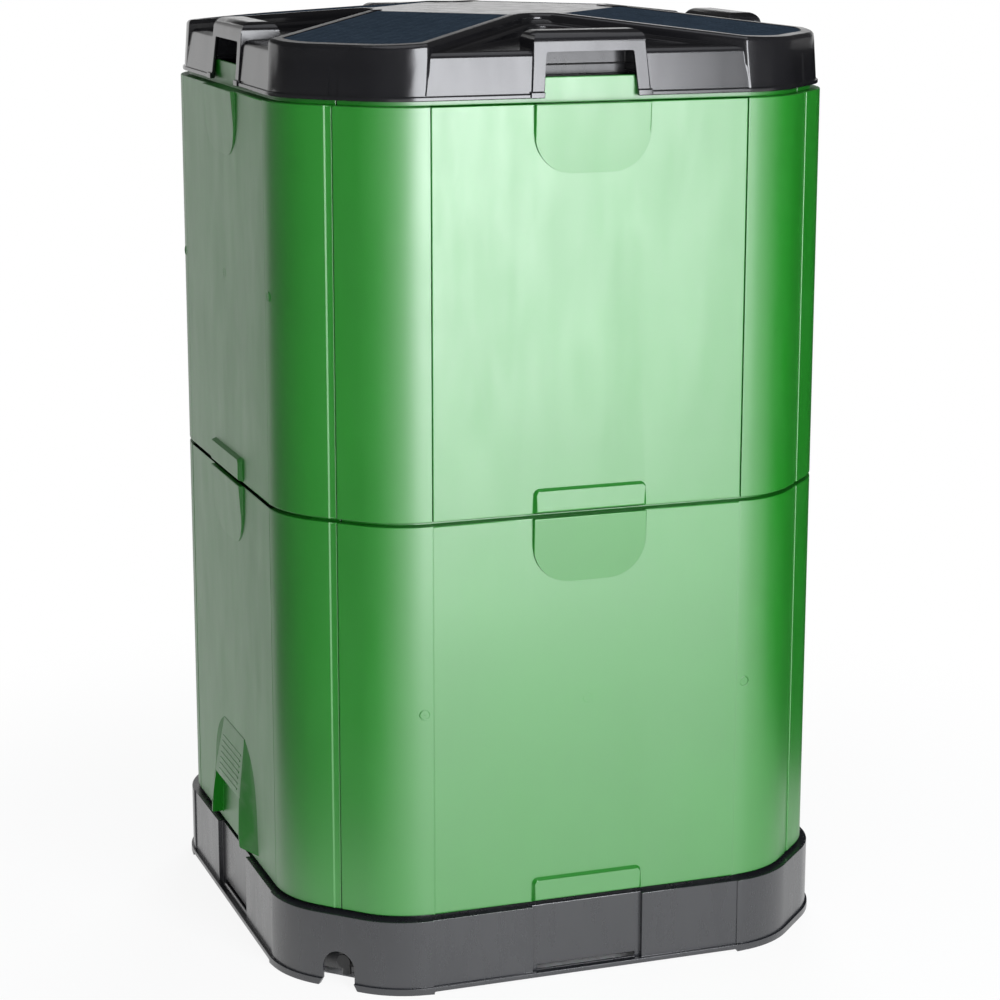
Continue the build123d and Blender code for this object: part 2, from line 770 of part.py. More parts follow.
def lid_hoop(inset):
    """Raised hand hoop in the middle of the lid's front side: leaning face, sloped legs, round brow."""
    front = face + lid_inset - hoop_proud + inset
    back = face + lid_inset + hoop_depth - inset
    top = lid_low + hoop_rise - inset
    with BuildSketch(mode=Mode.PRIVATE) as front_view:
        with BuildLine():
            Polyline(
                (inset - hoop_foot_half, lid_low),
                (inset - hoop_half, top),
                (hoop_half - inset, top),
                (hoop_foot_half - inset, lid_low),
                close=True,
            )
        make_face()
        fillet(front_view.vertices().group_by(Axis.Y)[-1], hoop_corner - inset)
    with BuildSketch(mode=Mode.PRIVATE) as side_view:
        with BuildLine():
            Polyline((front, lid_low), (front + hoop_lean, top), (back, top), (back, lid_low), close=True)
        make_face()
        fillet(side_view.vertices().group_by(Axis.Y)[-1], hoop_brow - inset)
    with BuildPart() as hoop:
        extrude(Plane.XZ * front_view.sketch, amount=half_width)
        extrude(Plane.YZ * side_view.sketch, amount=hoop_foot_half, both=True, mode=Mode.INTERSECT)
    return hoop.part


def hoop_opening():
    """Opening of the front hoop, narrower at its top."""
    with BuildSketch(mode=Mode.PRIVATE) as view:
        with BuildLine():
            Polyline(
                (-notch_half - notch_taper, lid_low),
                (notch_taper - notch_half, lid_low + notch_rise),
                (notch_half - notch_taper, lid_low + notch_rise),
                (notch_half + notch_taper, lid_low),
                close=True,
            )
        make_face()
        fillet(view.vertices().group_by(Axis.Y)[-1], notch_corner)
    reach = lid_inset + hoop_lean + 2 * lid_wall
    with BuildPart() as opening:
        extrude(Plane.XZ.offset(half_width - reach) * view.sketch, amount=reach)
    return opening.part


def lid_form(inset):
    """Outer form of the lid, drawn in by an inset, as a solid."""
    with BuildPart() as form:
        add(lid_skirt(inset))
        add(lid_valleys(inset))
        add(lid_bands(inset, crown_half, 0, band_round, 0))
        add(lid_bands(inset, crown_half + terrace_width, terrace_drop, terrace_round, skirt_round))
        with PolarLocations(0, 4):
            add(lid_hoop(inset))
    return form.part


def lid_pocket():
    """Cheeks and upper back wall of the finger pocket behind the front hoop's opening."""
    roof = lid_low + hoop_rise - lid_wall / 2
    joint = lid_low + notch_joint_rise + notch_joint / 2
    with BuildPart() as pocket:
        block(notch_half + lid_wall, 0, notch_back + lid_wall, web_top + fit, roof)
        block(notch_half, 0, notch_back, lid_low, roof, Mode.SUBTRACT)
        block(notch_half, 0, notch_back + 2 * lid_wall, lid_low, joint, Mode.SUBTRACT)
        add(lid_hoop(lid_wall / 2), mode=Mode.INTERSECT)
    return pocket.part


def hoop_feet():
    """Feet of the front hoop's two legs on the lid's flange."""
    with BuildPart() as feet:
        front = lid_flange_inset - hoop_foot_proud
        block(hoop_foot_half + hoop_foot_proud, front, lid_inset + lid_wall, lid_low, lid_low + hoop_foot)
    return feet.part


def screw_places():
    """Plan points of the screws that hold the lid's liner, two on each side."""
    across = [(side, end * screw_reach) for side in (-screw_side, screw_side) for end in (-1, 1)]
    return across + [(y, x) for x, y in across]


web_low = rim_top + tongue_height + lid_seat
web_top = web_low + web_wall
plug_inset = wall_depth + plug_play
notch_back = lid_inset + notch_depth
web_inset = lid_inset + side_draft * (web_top - lid_low) / skirt_rise + lid_wall + fit

# Lid: a hollow black moulding with an open underside
with BuildPart() as lid_shell:
    add(lid_form(0))
    add(lid_form(lid_wall), mode=Mode.SUBTRACT)
    add(lid_field(), mode=Mode.SUBTRACT)
    rise(ring(-lid_flange_inset, -lid_inset - lid_wall), lid_low, lid_low + lid_flange)
    with PolarLocations(0, 4):
        add(hoop_feet())
        add(lid_pocket())
    with PolarLocations(0, 4):
        add(hoop_opening(), mode=Mode.SUBTRACT)
    groove_distance = corner_distance - lid_inset - corner_draft * groove_rise / skirt_rise / 2
    with PolarLocations(groove_distance, 4, start_angle=45):
        with Locations(Location((0, 0, lid_low + lid_flange + groove_rise / 2), (0, -lid_lean, 0))):
            Box(2 * groove_depth, groove_width, groove_rise, mode=Mode.SUBTRACT)
            with Locations((0, 0, groove_rise / 2)):
                Cylinder(groove_width / 2, 2 * groove_depth, rotation=(0, 90, 0), mode=Mode.SUBTRACT)
    with Locations(*[(x, y, web_top + fit) for x, y in screw_places()]):
        Cylinder(boss_radius, skirt_top - web_top - lid_wall / 2, align=UPRIGHT)
        Cylinder(
            screw_radius + screw_play,
            skirt_top - web_top - 2 * lid_wall,
            align=UPRIGHT,
            mode=Mode.SUBTRACT,
        )
write(lid_shell.part, "lid_shell")

# Liner under the lid: a web that rests on the panels' tongues and a plug inside the walls
with BuildPart() as lid_liner:
    rise(plan(-web_inset), web_low, web_top)
    rise(plan(-plug_inset), plug_floor, web_top)
    rise(plan(-plug_inset - liner_wall), plug_floor + liner_wall, web_top, Mode.SUBTRACT)
    with PolarLocations(half_width - notch_back / 2, 4):
        with Locations((0, 0, (web_low + web_top) / 2)):
            Box(notch_back, 2 * notch_half, 2 * web_wall, mode=Mode.SUBTRACT)
    upstand_top = lid_low + notch_joint_rise - notch_joint / 2
    with PolarLocations(half_width - notch_back - liner_wall / 2, 4):
        with Locations((0, 0, (web_low + upstand_top) / 2)):
            Box(liner_wall, 2 * (notch_half - fit), upstand_top - web_low)
    with Locations(*[(x, y, web_low + web_wall / 2) for x, y in screw_places()]):
        Cylinder(screw_radius + screw_play, web_wall, mode=Mode.SUBTRACT)
write(lid_liner.part, "lid_liner")

# Foam between the lid's shell and its liner
with BuildPart() as lid_core:
    add(lid_form(lid_wall + fit))
    rise(plan(0), 0, web_top + fit, Mode.SUBTRACT)
    rise(plan(-plug_inset - liner_wall - fit), plug_floor + liner_wall + fit, web_top + fit)
    pocket_depth = notch_back + lid_wall + fit
    with PolarLocations(half_width - pocket_depth / 2, 4):
        with Locations((0, 0, web_top + hoop_rise / 2)):
            Box(pocket_depth, 2 * (notch_half + lid_wall + fit), hoop_rise, mode=Mode.SUBTRACT)
    with Locations(*[(x, y, web_top) for x, y in screw_places()]):
        Cylinder(boss_radius + fit, skirt_top - web_top, align=UPRIGHT, mode=Mode.SUBTRACT)
write(lid_core.part, "lid_core")

with BuildPart() as lid_screws:
    with Locations(*[(x, y, web_low - screw_head / 2) for x, y in screw_places()]):
        Cylinder(screw_head_radius, screw_head)
    with Locations(*[(x, y, web_low + screw_length / 2) for x, y in screw_places()]):
        Cylinder(screw_radius, screw_length)
write(lid_screws.part, "lid_screws")


def lung_tube(low, high):
    """Slotted square tube of the aeration lung between two heights."""
    middle = (low + high) / 2
    with BuildPart() as tube:
        with BuildSketch(Plane.XY.offset(low)):
            RectangleRounded(2 * lung_half, 2 * lung_half, lung_corner)
            RectangleRounded(
                2 * (lung_half - lung_wall),
                2 * (lung_half - lung_wall),
                lung_corner - lung_wall,
                mode=Mode.SUBTRACT,
            )
        extrude(amount=high - low)
        for plane in (Plane.XZ, Plane.YZ):
            with BuildSketch(plane):
                with Locations((0, middle)):
                    with GridLocations(lung_slot_length, lung_pitch, 1, lung_rows):
                        Rectangle(lung_slot_length, lung_slot_height)
            extrude(amount=2 * lung_half, both=True, mode=Mode.SUBTRACT)
    return tube.part


# Aeration lung: two stacked slotted tubes with a closed cap
lung_joint = floor_top + lung_section
lung_top = lung_joint + lung_section
collar_half = lung_half - lung_wall - fit
with BuildPart() as lung_lower:
    add(lung_tube(floor_top, lung_joint))
    with BuildSketch(Plane.XY.offset(lung_joint - lung_collar)):
        RectangleRounded(2 * (lung_half - lung_wall), 2 * (lung_half - lung_wall), lung_corner - lung_wall)
        Rectangle(2 * (collar_half - lung_wall), 2 * (collar_half - lung_wall), mode=Mode.SUBTRACT)
    extrude(amount=lung_collar)
    with BuildSketch(Plane.XY.offset(lung_joint)):
        RectangleRounded(2 * collar_half, 2 * collar_half, lung_corner - lung_wall - fit)
        Rectangle(2 * (collar_half - lung_wall), 2 * (collar_half - lung_wall), mode=Mode.SUBTRACT)
    extrude(amount=lung_collar)
write(lung_lower.part, "lung_lower")

with BuildPart() as lung_upper:
    add(lung_tube(lung_joint, lung_top))
write(lung_upper.part, "lung_upper")

with BuildPart() as lung_cap:
    with BuildSketch(Plane.XY.offset(lung_top)):
        cap_half = lung_half + lung_cap_rim
        RectangleRounded(2 * cap_half, 2 * cap_half, lung_corner + lung_cap_rim)
    extrude(amount=lung_cap_wall)
    with BuildSketch(Plane.XY.offset(lung_top)):
        RectangleRounded(2 * collar_half, 2 * collar_half, lung_corner - lung_wall - fit)
        Rectangle(2 * (collar_half - lung_wall), 2 * (collar_half - lung_wall), mode=Mode.SUBTRACT)
    extrude(amount=-lung_cap_skirt)
write(lung_cap.part, "lung_cap")
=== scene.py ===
import json
import logging
import math
from dataclasses import dataclass, field
from enum import Enum
from typing import Iterable, Sequence

import bmesh
import bpy
from mathutils import Matrix, Vector
from mathutils.bvhtree import BVHTree


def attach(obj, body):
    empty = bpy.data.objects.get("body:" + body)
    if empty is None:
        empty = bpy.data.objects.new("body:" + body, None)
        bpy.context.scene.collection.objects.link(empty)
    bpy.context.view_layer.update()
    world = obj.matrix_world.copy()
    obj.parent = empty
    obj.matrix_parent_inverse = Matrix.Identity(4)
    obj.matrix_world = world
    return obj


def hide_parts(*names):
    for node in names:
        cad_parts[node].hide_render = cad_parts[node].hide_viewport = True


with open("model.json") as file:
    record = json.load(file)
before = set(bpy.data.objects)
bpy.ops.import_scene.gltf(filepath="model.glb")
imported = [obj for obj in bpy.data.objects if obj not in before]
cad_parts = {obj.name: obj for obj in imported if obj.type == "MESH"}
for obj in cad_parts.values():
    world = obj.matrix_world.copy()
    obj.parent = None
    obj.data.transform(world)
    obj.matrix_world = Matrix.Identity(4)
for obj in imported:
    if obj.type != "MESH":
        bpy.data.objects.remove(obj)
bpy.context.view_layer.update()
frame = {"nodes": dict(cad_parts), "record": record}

LOG = logging.getLogger("compost_bin")
DIAGONAL = Matrix.Rotation(math.radians(45), 4, "Z")
NOISE_LOW, NOISE_HIGH = 0.3, 0.7
NOISE_ROUGHNESS = 0.6
SMOOTH_BELOW = math.radians(40)
BEAD_SIDES = 12
SORT_AXIS = Vector((1.0, math.sqrt(2), math.sqrt(3)))

Colour = tuple[float, float, float]
Value = bpy.types.NodeSocket | float


class Slot(Enum):
    """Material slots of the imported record."""

    PANEL = "panel_green"
    LID = "lid_black"
    BASE = "base_black"
    LINER = "liner_grey"
    FOAM = "foam"
    TAP = "tap_black"
    SEAL = "seal_rubber"
    SCREW = "screw_steel"


class Body(Enum):
    """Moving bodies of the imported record."""

    BIN = "bin"
    LID = "lid"
    LEFT_DOOR = "left_door"
    RIGHT_DOOR = "right_door"
    LEVER = "tap_lever"


class Side(Enum):
    """Sides of the bin, by their turn from the front in degrees."""

    FRONT = 0
    RIGHT = 90
    BACK = 180
    LEFT = 270

    def turn(self) -> Matrix:
        """Turn that carries a piece made for the front to this side.

        Returns:
            The turn about the upright axis.
        """
        return Matrix.Rotation(math.radians(self.value), 4, "Z")


class NodeBoard:
    """Short way to place and join the nodes of one node tree."""

    def __init__(self, tree: bpy.types.NodeTree) -> None:
        """Keep the tree.

        Args:
            tree: The node tree that is filled.
        """
        self.tree = tree

    def put(self, kind: str, inputs: dict | None = None, **settings: object) -> bpy.types.Node:
        """Add a node.

        Args:
            kind: Blender's type name of the node.
            inputs: Values of its input sockets, by name or number.
            settings: Attributes of the node.

        Returns:
            The new node.
        """
        node = self.tree.nodes.new(kind)
        for key, value in settings.items():
            setattr(node, key, value)
        for key, value in (inputs or {}).items():
            node.inputs[key].default_value = value
        return node

    def join(self, source: bpy.types.NodeSocket, target: bpy.types.NodeSocket) -> None:
        """Link one socket to another.

        Args:
            source: Output that the value comes from.
            target: Input that it goes to.
        """
        self.tree.links.new(source, target)

    def math(self, operation: str, first: Value, second: Value | None = None) -> bpy.types.NodeSocket:
        """Add a maths node.

        Args:
            operation: Blender's name of the operation.
            first: A socket or a number.
            second: A socket, a number or nothing.

        Returns:
            The result's socket.
        """
        node = self.put("ShaderNodeMath", operation=operation)
        for place, value in enumerate((first, second)):
            if isinstance(value, bpy.types.NodeSocket):
                self.join(value, node.inputs[place])
            elif value is not None:
                node.inputs[place].default_value = value
        return node.outputs[0]

    def noise(self, where: bpy.types.NodeSocket, size: float, detail: float) -> bpy.types.NodeSocket:
        """Add a noise.

        Args:
            where: Coordinates, in metres.
            size: Size of the noise's spots in metres.
            detail: Octaves of finer noise.

        Returns:
            The noise's value.
        """
        node = self.put("ShaderNodeTexNoise", {"Scale": 1 / size, "Detail": detail})
        node.inputs["Roughness"].default_value = NOISE_ROUGHNESS
        self.join(where, node.inputs["Vector"])
        return node.outputs["Fac"]

    def spread(self, value: bpy.types.NodeSocket, low: float, high: float) -> bpy.types.NodeSocket:
        """Map the middle of a noise to a range.

        Args:
            value: The noise.
            low: Result at the noise's low end.
            high: Result at its high end.

        Returns:
            The mapped value.
        """
        node = self.put("ShaderNodeMapRange", {"From Min": NOISE_LOW, "From Max": NOISE_HIGH})
        node.inputs["To Min"].default_value = low
        node.inputs["To Max"].default_value = high
        self.join(value, node.inputs["Value"])
        return node.outputs["Result"]

    def blend(self, share: bpy.types.NodeSocket, first: Colour, second: Colour) -> bpy.types.NodeSocket:
        """Blend two colours.

        Args:
            share: Share of the second colour.
            first: Colour at a share of nothing.
            second: Colour at a full share.

        Returns:
            The blended colour.
        """
        node = self.put("ShaderNodeMix", data_type="RGBA")
        colours = [socket for socket in node.inputs if socket.type == "RGBA"]
        colours[0].default_value = (*first, 1.0)
        colours[1].default_value = (*second, 1.0)
        self.join(share, node.inputs["Factor"])
        return next(socket for socket in node.outputs if socket.type == "RGBA")


def new_finish(name: str) -> tuple[bpy.types.Material, NodeBoard, bpy.types.Node]:
    """Start a material of the bin.

    Args:
        name: Name of the material.

    Returns:
        The material, the board of its tree and its shader.
    """
    material = bpy.data.materials.new(name)
    material.use_nodes = True
    return material, NodeBoard(material.node_tree), material.node_tree.nodes["Principled BSDF"]


def new_stage_paint(name: str) -> tuple[bpy.types.Material, NodeBoard, bpy.types.NodeSocket]:
    """Start a material of the studio, without the usual shader.

    Args:
        name: Name of the material.

    Returns:
        The material, the board of its tree and the socket that its shader goes to.
    """
    material, board, shader = new_finish(name)
    material.node_tree.nodes.remove(shader)
    return material, board, material.node_tree.nodes["Material Output"].inputs["Surface"]


@dataclass(frozen=True)
class MouldedPlastic:
    """Moulded plastic with a slow drift of tone, uneven gloss and a fine grain."""

    name: str
    tone: Colour
    deep_tone: Colour
    roughness: float
    gloss_spread: float
    specular: float
    grain_size: float
    grain_depth: float
    drift_size: float = 0.16
    ior: float = 1.5
    drift_detail: float = 3.0
    gloss_detail: float = 6.0
    gloss_fineness: float = 6.0
    gloss_stretch: float = 0.25
    grain_detail: float = 2.0

    def build(self) -> bpy.types.Material:
        """Make the material.

        Returns:
            The new material.
        """
        material, board, shader = new_finish(self.name)
        shader.inputs["Specular IOR Level"].default_value = self.specular
        shader.inputs["IOR"].default_value = self.ior
        where = board.put("ShaderNodeTexCoord").outputs["Object"]
        stretch = board.put("ShaderNodeMapping", {"Scale": (1.0, 1.0, self.gloss_stretch)})
        board.join(where, stretch.inputs["Vector"])
        drift = board.spread(board.noise(where, self.drift_size, self.drift_detail), 0.0, 1.0)
        board.join(board.blend(drift, self.tone, self.deep_tone), shader.inputs["Base Color"])
        gloss_size = self.drift_size / self.gloss_fineness
        gloss = board.noise(stretch.outputs["Vector"], gloss_size, self.gloss_detail)
        low, high = self.roughness - self.gloss_spread, self.roughness + self.gloss_spread
        board.join(board.spread(gloss, low, high), shader.inputs["Roughness"])
        bump = board.put("ShaderNodeBump", {"Strength": 1.0, "Distance": self.grain_depth})
        board.join(board.noise(where, self.grain_size, self.grain_detail), bump.inputs["Height"])
        board.join(bump.outputs["Normal"], shader.inputs["Normal"])
        return material


@dataclass(frozen=True)
class BeadFoam:
    """Pale moulded foam whose beads show."""

    name: str
    tone: Colour
    deep_tone: Colour
    bead_size: float
    roughness: float = 0.85
    dent: float = 0.6
    dent_depth: float = 0.0006

    def build(self) -> bpy.types.Material:
        """Make the material.

        Returns:
            The new material.
        """
        material, board, shader = new_finish(self.name)
        shader.inputs["Roughness"].default_value = self.roughness
        where = board.put("ShaderNodeTexCoord").outputs["Object"]
        beads = board.put("ShaderNodeTexVoronoi", {"Scale": 1 / self.bead_size})
        board.join(where, beads.inputs["Vector"])
        tone = board.blend(beads.outputs["Distance"], self.tone, self.deep_tone)
        board.join(tone, shader.inputs["Base Color"])
        sizes = {"Strength": self.dent, "Distance": self.dent_depth}
        bump = board.put("ShaderNodeBump", sizes, invert=True)
        board.join(beads.outputs["Distance"], bump.inputs["Height"])
        board.join(bump.outputs["Normal"], shader.inputs["Normal"])
        return material


@dataclass(frozen=True)
class PlatedSteel:
    """Plated screw steel with fine turning marks."""

    name: str
    tone: Colour
    deep_tone: Colour
    smooth: float
    rough: float
    tone_size: float = 0.004
    tone_detail: float = 4.0
    mark_size: float = 0.0008
    mark_detail: float = 3.0

    def build(self) -> bpy.types.Material:
        """Make the material.

        Returns:
            The new material.
        """
        material, board, shader = new_finish(self.name)
        shader.inputs["Metallic"].default_value = 1.0
        where = board.put("ShaderNodeTexCoord").outputs["Object"]
        tone = board.spread(board.noise(where, self.tone_size, self.tone_detail), 0.0, 1.0)
        board.join(board.blend(tone, self.tone, self.deep_tone), shader.inputs["Base Color"])
        marks = board.noise(where, self.mark_size, self.mark_detail)
        board.join(board.spread(marks, self.smooth, self.rough), shader.inputs["Roughness"])
        return material


Finish = MouldedPlastic | BeadFoam | PlatedSteel

PANEL_GREEN = MouldedPlastic(
    "panel_green_plastic",
    tone=(0.003, 0.178, 0.004),
    deep_tone=(0.002, 0.163, 0.003),
    roughness=0.42,
    gloss_spread=0.03,
    specular=0.95,
    grain_size=0.0012,
    grain_depth=0.00001,
    ior=1.72,
)
# Painted shade: the panel's green with weaker, rougher reflections, for the hood's flanks and mouth, which
# are the same plastic in shade.
PANEL_HOOD_SHADE = MouldedPlastic(
    "panel_hood_painted_shade",
    tone=(0.003, 0.178, 0.004),
    deep_tone=(0.002, 0.163, 0.003),
    roughness=0.5,
    gloss_spread=0.03,
    specular=0.3,
    grain_size=0.0012,
    grain_depth=0.00001,
)
LID_BLACK = MouldedPlastic(
    "lid_black_plastic",
    tone=(0.010, 0.010, 0.011),
    deep_tone=(0.007, 0.007, 0.008),
    roughness=0.19,
    gloss_spread=0.03,
    specular=0.66,
    grain_size=0.0016,
    grain_depth=0.000006,
)
# Painted reflection: the lid's dark plastic tinted navy, with its own reflection turned off, standing for
# dark blue surroundings seen in the ribbed fields.
LID_FIELD_REFLECTION = MouldedPlastic(
    "lid_field_painted_reflection",
    tone=(0.036, 0.052, 0.072),
    deep_tone=(0.028, 0.041, 0.057),
    roughness=0.5,
    gloss_spread=0.05,
    specular=0.0,
    grain_size=0.0010,
    grain_depth=0.000004,
    drift_size=0.02,
)
# Painted shade: the lid's black with weaker, rougher reflections, for the walls behind the hoops and the
# liner seen through them.
LID_INNER_SHADE = MouldedPlastic(
    "lid_inner_painted_shade",
    tone=(0.010, 0.010, 0.011),
    deep_tone=(0.007, 0.007, 0.008),
    roughness=0.25,
    gloss_spread=0.04,
    specular=0.44,
    grain_size=0.0016,
    grain_depth=0.000006,
)
BASE_BLACK = MouldedPlastic(
    "base_black_plastic",
    tone=(0.019, 0.020, 0.023),
    deep_tone=(0.014, 0.015, 0.018),
    roughness=0.28,
    gloss_spread=0.04,
    specular=1.0,
    grain_size=0.0011,
    grain_depth=0.00001,
)
LINER_GREY = MouldedPlastic(
    "liner_grey_plastic",
    tone=(0.060, 0.062, 0.066),
    deep_tone=(0.046, 0.048, 0.051),
    roughness=0.55,
    gloss_spread=0.06,
    specular=0.5,
    grain_size=0.0014,
    grain_depth=0.00004,
)
TAP_BLACK = MouldedPlastic(
    "tap_black_plastic",
    tone=(0.012, 0.012, 0.012),
    deep_tone=(0.008, 0.008, 0.009),
    roughness=0.32,
    gloss_spread=0.05,
    specular=0.5,
    grain_size=0.0008,
    grain_depth=0.00001,
    drift_size=0.02,
)
# Also the near-black of the beads of painted shade deep in the joints.
SEAL_RUBBER_AND_SHADE = MouldedPlastic(
    "seal_rubber",
    tone=(0.018, 0.018, 0.018),
    deep_tone=(0.012, 0.012, 0.012),
    roughness=0.75,
    gloss_spread=0.05,
    specular=0.3,
    grain_size=0.0005,
    grain_depth=0.00002,
    drift_size=0.01,
)
CORE_FOAM = BeadFoam("core_foam", tone=(0.80, 0.80, 0.77), deep_tone=(0.62, 0.62, 0.58), bead_size=0.004)
SCREW_STEEL = PlatedSteel(
    "screw_steel", tone=(0.62, 0.62, 0.61), deep_tone=(0.48, 0.48, 0.47), smooth=0.22, rough=0.4
)


class Finishes:
    """Materials of the bin, each made once when it is first asked for."""

    def __init__(self) -> None:
        """Start with nothing made."""
        self.made: dict[str, bpy.types.Material] = {}

    def __getitem__(self, finish: Finish) -> bpy.types.Material:
        """Material of a finish.

        Args:
            finish: The finish that is wanted.

        Returns:
            Its material.
        """
        if finish.name not in self.made:
            self.made[finish.name] = finish.build()
        return self.made[finish.name]


SLOT_FINISH = {
    Slot.PANEL: PANEL_GREEN,
    Slot.LID: LID_BLACK,
    Slot.BASE: BASE_BLACK,
    Slot.LINER: LINER_GREY,
    Slot.FOAM: CORE_FOAM,
    Slot.TAP: TAP_BLACK,
    Slot.SEAL: SEAL_RUBBER_AND_SHADE,
    Slot.SCREW: SCREW_STEEL,
}


@dataclass(frozen=True)
class EdgeRounding:
    """Rounding of a moulding's sharp edges."""

    width: float
    segments: int = 2
    sharp_from: float = 28.0
    weld: float = 0.00001
    flat_within: float = 0.4
    narrow: float = 2.0
    stray: float = 1.3
    clear_of_stray: float = 4.0
    passes: int = 4

    def mesh(self, source: bpy.types.Mesh) -> bpy.types.Mesh:
        """Rounded copy of a CAD node's mesh.

        Args:
            source: Mesh of the node.

        Returns:
            A new mesh with welded faces and rounded edges.
        """
        kept_sharp: list[Vector] = []
        for _ in range(self.passes):
            form, roots = self.rounded(source, kept_sharp)
            if not roots:
                break
            kept_sharp += roots
            form.free()
        put_in_order(form)
        copy = bpy.data.meshes.new(source.name + "_rounded")
        form.to_mesh(copy)
        form.free()
        copy.shade_smooth()
        copy.set_sharp_from_angle(angle=math.radians(self.sharp_from))
        return flat_faced(copy)

    def rounded(
        self, source: bpy.types.Mesh, kept_sharp: Sequence[Vector]
    ) -> tuple[bmesh.types.BMesh, list[Vector]]:
        """Round the sharp edges, except those that end near some points.

        Args:
            source: Mesh of the node.
            kept_sharp: Points whose edges stay sharp.

        Returns:
            The rounded form, and the points next to any vertex that left the surface.
        """
        form = bmesh.new()
        form.from_mesh(source)
        bmesh.ops.remove_doubles(form, verts=form.verts, dist=self.weld)
        bmesh.ops.dissolve_limit(
            form, angle_limit=math.radians(self.flat_within), verts=form.verts, edges=form.edges
        )
        surface = BVHTree.FromBMesh(form)
        sharp = math.radians(self.sharp_from)
        reach = self.clear_of_stray * self.width
        edges = [
            edge
            for edge in form.edges
            if len(edge.link_faces) == 2
            and edge.calc_face_angle() > sharp
            and min(map(breadth, edge.link_faces)) > self.narrow * self.width
            and not any((end.co - spot).length < reach for end in edge.verts for spot in kept_sharp)
        ]
        bmesh.ops.bevel(
            form,
            geom=edges,
            offset=self.width,
            offset_type="OFFSET",
            segments=self.segments,
            profile=0.5,
            affect="EDGES",
            clamp_overlap=False,
            loop_slide=True,
        )
        limit = self.stray * self.width
        strays = {spot for spot in form.verts if surface.find_nearest(spot.co)[3] > limit}
        ends = [edge.other_vert(spot) for spot in strays for edge in spot.link_edges]
        roots = [end.co.copy() for end in ends if end not in strays]
        bmesh.ops.remove_doubles(form, verts=form.verts, dist=self.weld)
        return form, roots


def breadth(face: bmesh.types.BMFace) -> float:
    """Width of a face across its longest edge, roughly.

    Args:
        face: The face.

    Returns:
        The width in metres.
    """
    return face.calc_area() / max(edge.calc_length() for edge in face.edges)


def put_in_order(form: bmesh.types.BMesh) -> None:
    """Sort vertices by place and faces by their vertices, so that each run lists them alike.

    Args:
        form: The form that is sorted.
    """
    form.verts.sort(key=lambda spot: spot.co.dot(SORT_AXIS))
    form.verts.index_update()
    count = len(form.verts)

    def rank(face: bmesh.types.BMFace) -> int:
        """Number made of the face's three lowest vertices."""
        first, second, third = sorted(corner.index for corner in face.verts)[:3]
        return (first * count + second) * count + third

    form.faces.sort(key=rank)


def flat_faced(mesh: bpy.types.Mesh) -> bpy.types.Mesh:
    """Mesh whose large faces keep their own normals.

    Args:
        mesh: A smooth-shaded mesh.

    Returns:
        The mesh with normals weighted by face area.
    """
    carrier = bpy.data.objects.new(mesh.name, mesh)
    bpy.context.scene.collection.objects.link(carrier)
    modifier = carrier.modifiers.new("weighted", "WEIGHTED_NORMAL")
    modifier.keep_sharp = True
    graph = bpy.context.evaluated_depsgraph_get()
    weighted = bpy.data.meshes.new_from_object(carrier.evaluated_get(graph))
    carrier.modifiers.remove(modifier)
    bpy.data.objects.remove(carrier)
    return weighted


class Workshop:
    """Shared ways to dress nodes and to add pieces to the bin."""

    def __init__(self) -> None:
        """Make the finishes and read which body each node rides on."""
        self.finishes = Finishes()
        self.body_of = {
            node: body for body, nodes in frame["record"]["behaviour"]["bodies"].items() for node in nodes
        }
        self.slot_of = {
            part["node"]: Slot(part["material_slot"]) for part in frame["record"]["subparts"]
        }

    def dress(self, node: str) -> None:
        """Give a CAD node the finish of its slot.

        Args:
            node: Name of the node.
        """
        piece = frame["nodes"][node]
        piece.data.materials.clear()
        piece.data.materials.append(self.finishes[SLOT_FINISH[self.slot_of[node]]])
        self.slot_of[node].value
        LOG.info("dressed %s", node)

    def round(self, node: str, rounding: EdgeRounding) -> bpy.types.Object:
        """Stand a copy with rounded edges in for a CAD node.

        Args:
            node: Name of the node.
            rounding: Rounding of its edges.

        Returns:
            The new piece.
        """
        mesh = rounding.mesh(frame["nodes"][node].data)
        mesh.materials.clear()
        mesh.materials.append(self.finishes[SLOT_FINISH[self.slot_of[node]]])
        piece = self.add(mesh, node + "_moulding", self.body_of[node], self.slot_of[node])
        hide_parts(node)
        return piece

    def add(self, mesh: bpy.types.Mesh, name: str, body: str, slot: Slot) -> bpy.types.Object:
        """Add a piece whose place is in its mesh.

        Args:
            mesh: The finished mesh.
            name: Name of the piece.
            body: Body that it rides on.
            slot: Slot of the record that its finish comes from; not used.

        Returns:
            The new piece.
        """
        piece = bpy.data.objects.new(name, mesh)
        bpy.context.scene.collection.objects.link(piece)
        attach(piece, body)
        LOG.info("added %s with %d faces", name, len(mesh.polygons))
        return piece


def grow(tree: bpy.types.NodeTree, sizes: dict[str, object]) -> bpy.types.Mesh:
    """Plain mesh of a Geometry Nodes tree.

    Args:
        tree: The tree, which ends in Realize Instances and Set Material.
        sizes: Its inputs by name.

    Returns:
        The mesh that it makes.
    """
    carrier = bpy.data.objects.new(tree.name, bpy.data.meshes.new(tree.name))
    bpy.context.scene.collection.objects.link(carrier)
    modifier = carrier.modifiers.new(tree.name, "NODES")
    modifier.node_group = tree
    sockets = {
        item.name: item.identifier
        for item in tree.interface.items_tree
        if item.item_type == "SOCKET" and item.in_out == "INPUT"
    }
    for name, value in sizes.items():
        modifier[sockets[name]] = value
    graph = bpy.context.evaluated_depsgraph_get()
    mesh = bpy.data.meshes.new_from_object(carrier.evaluated_get(graph))
    carrier.modifiers.remove(modifier)
    bpy.data.objects.remove(carrier)
    return mesh


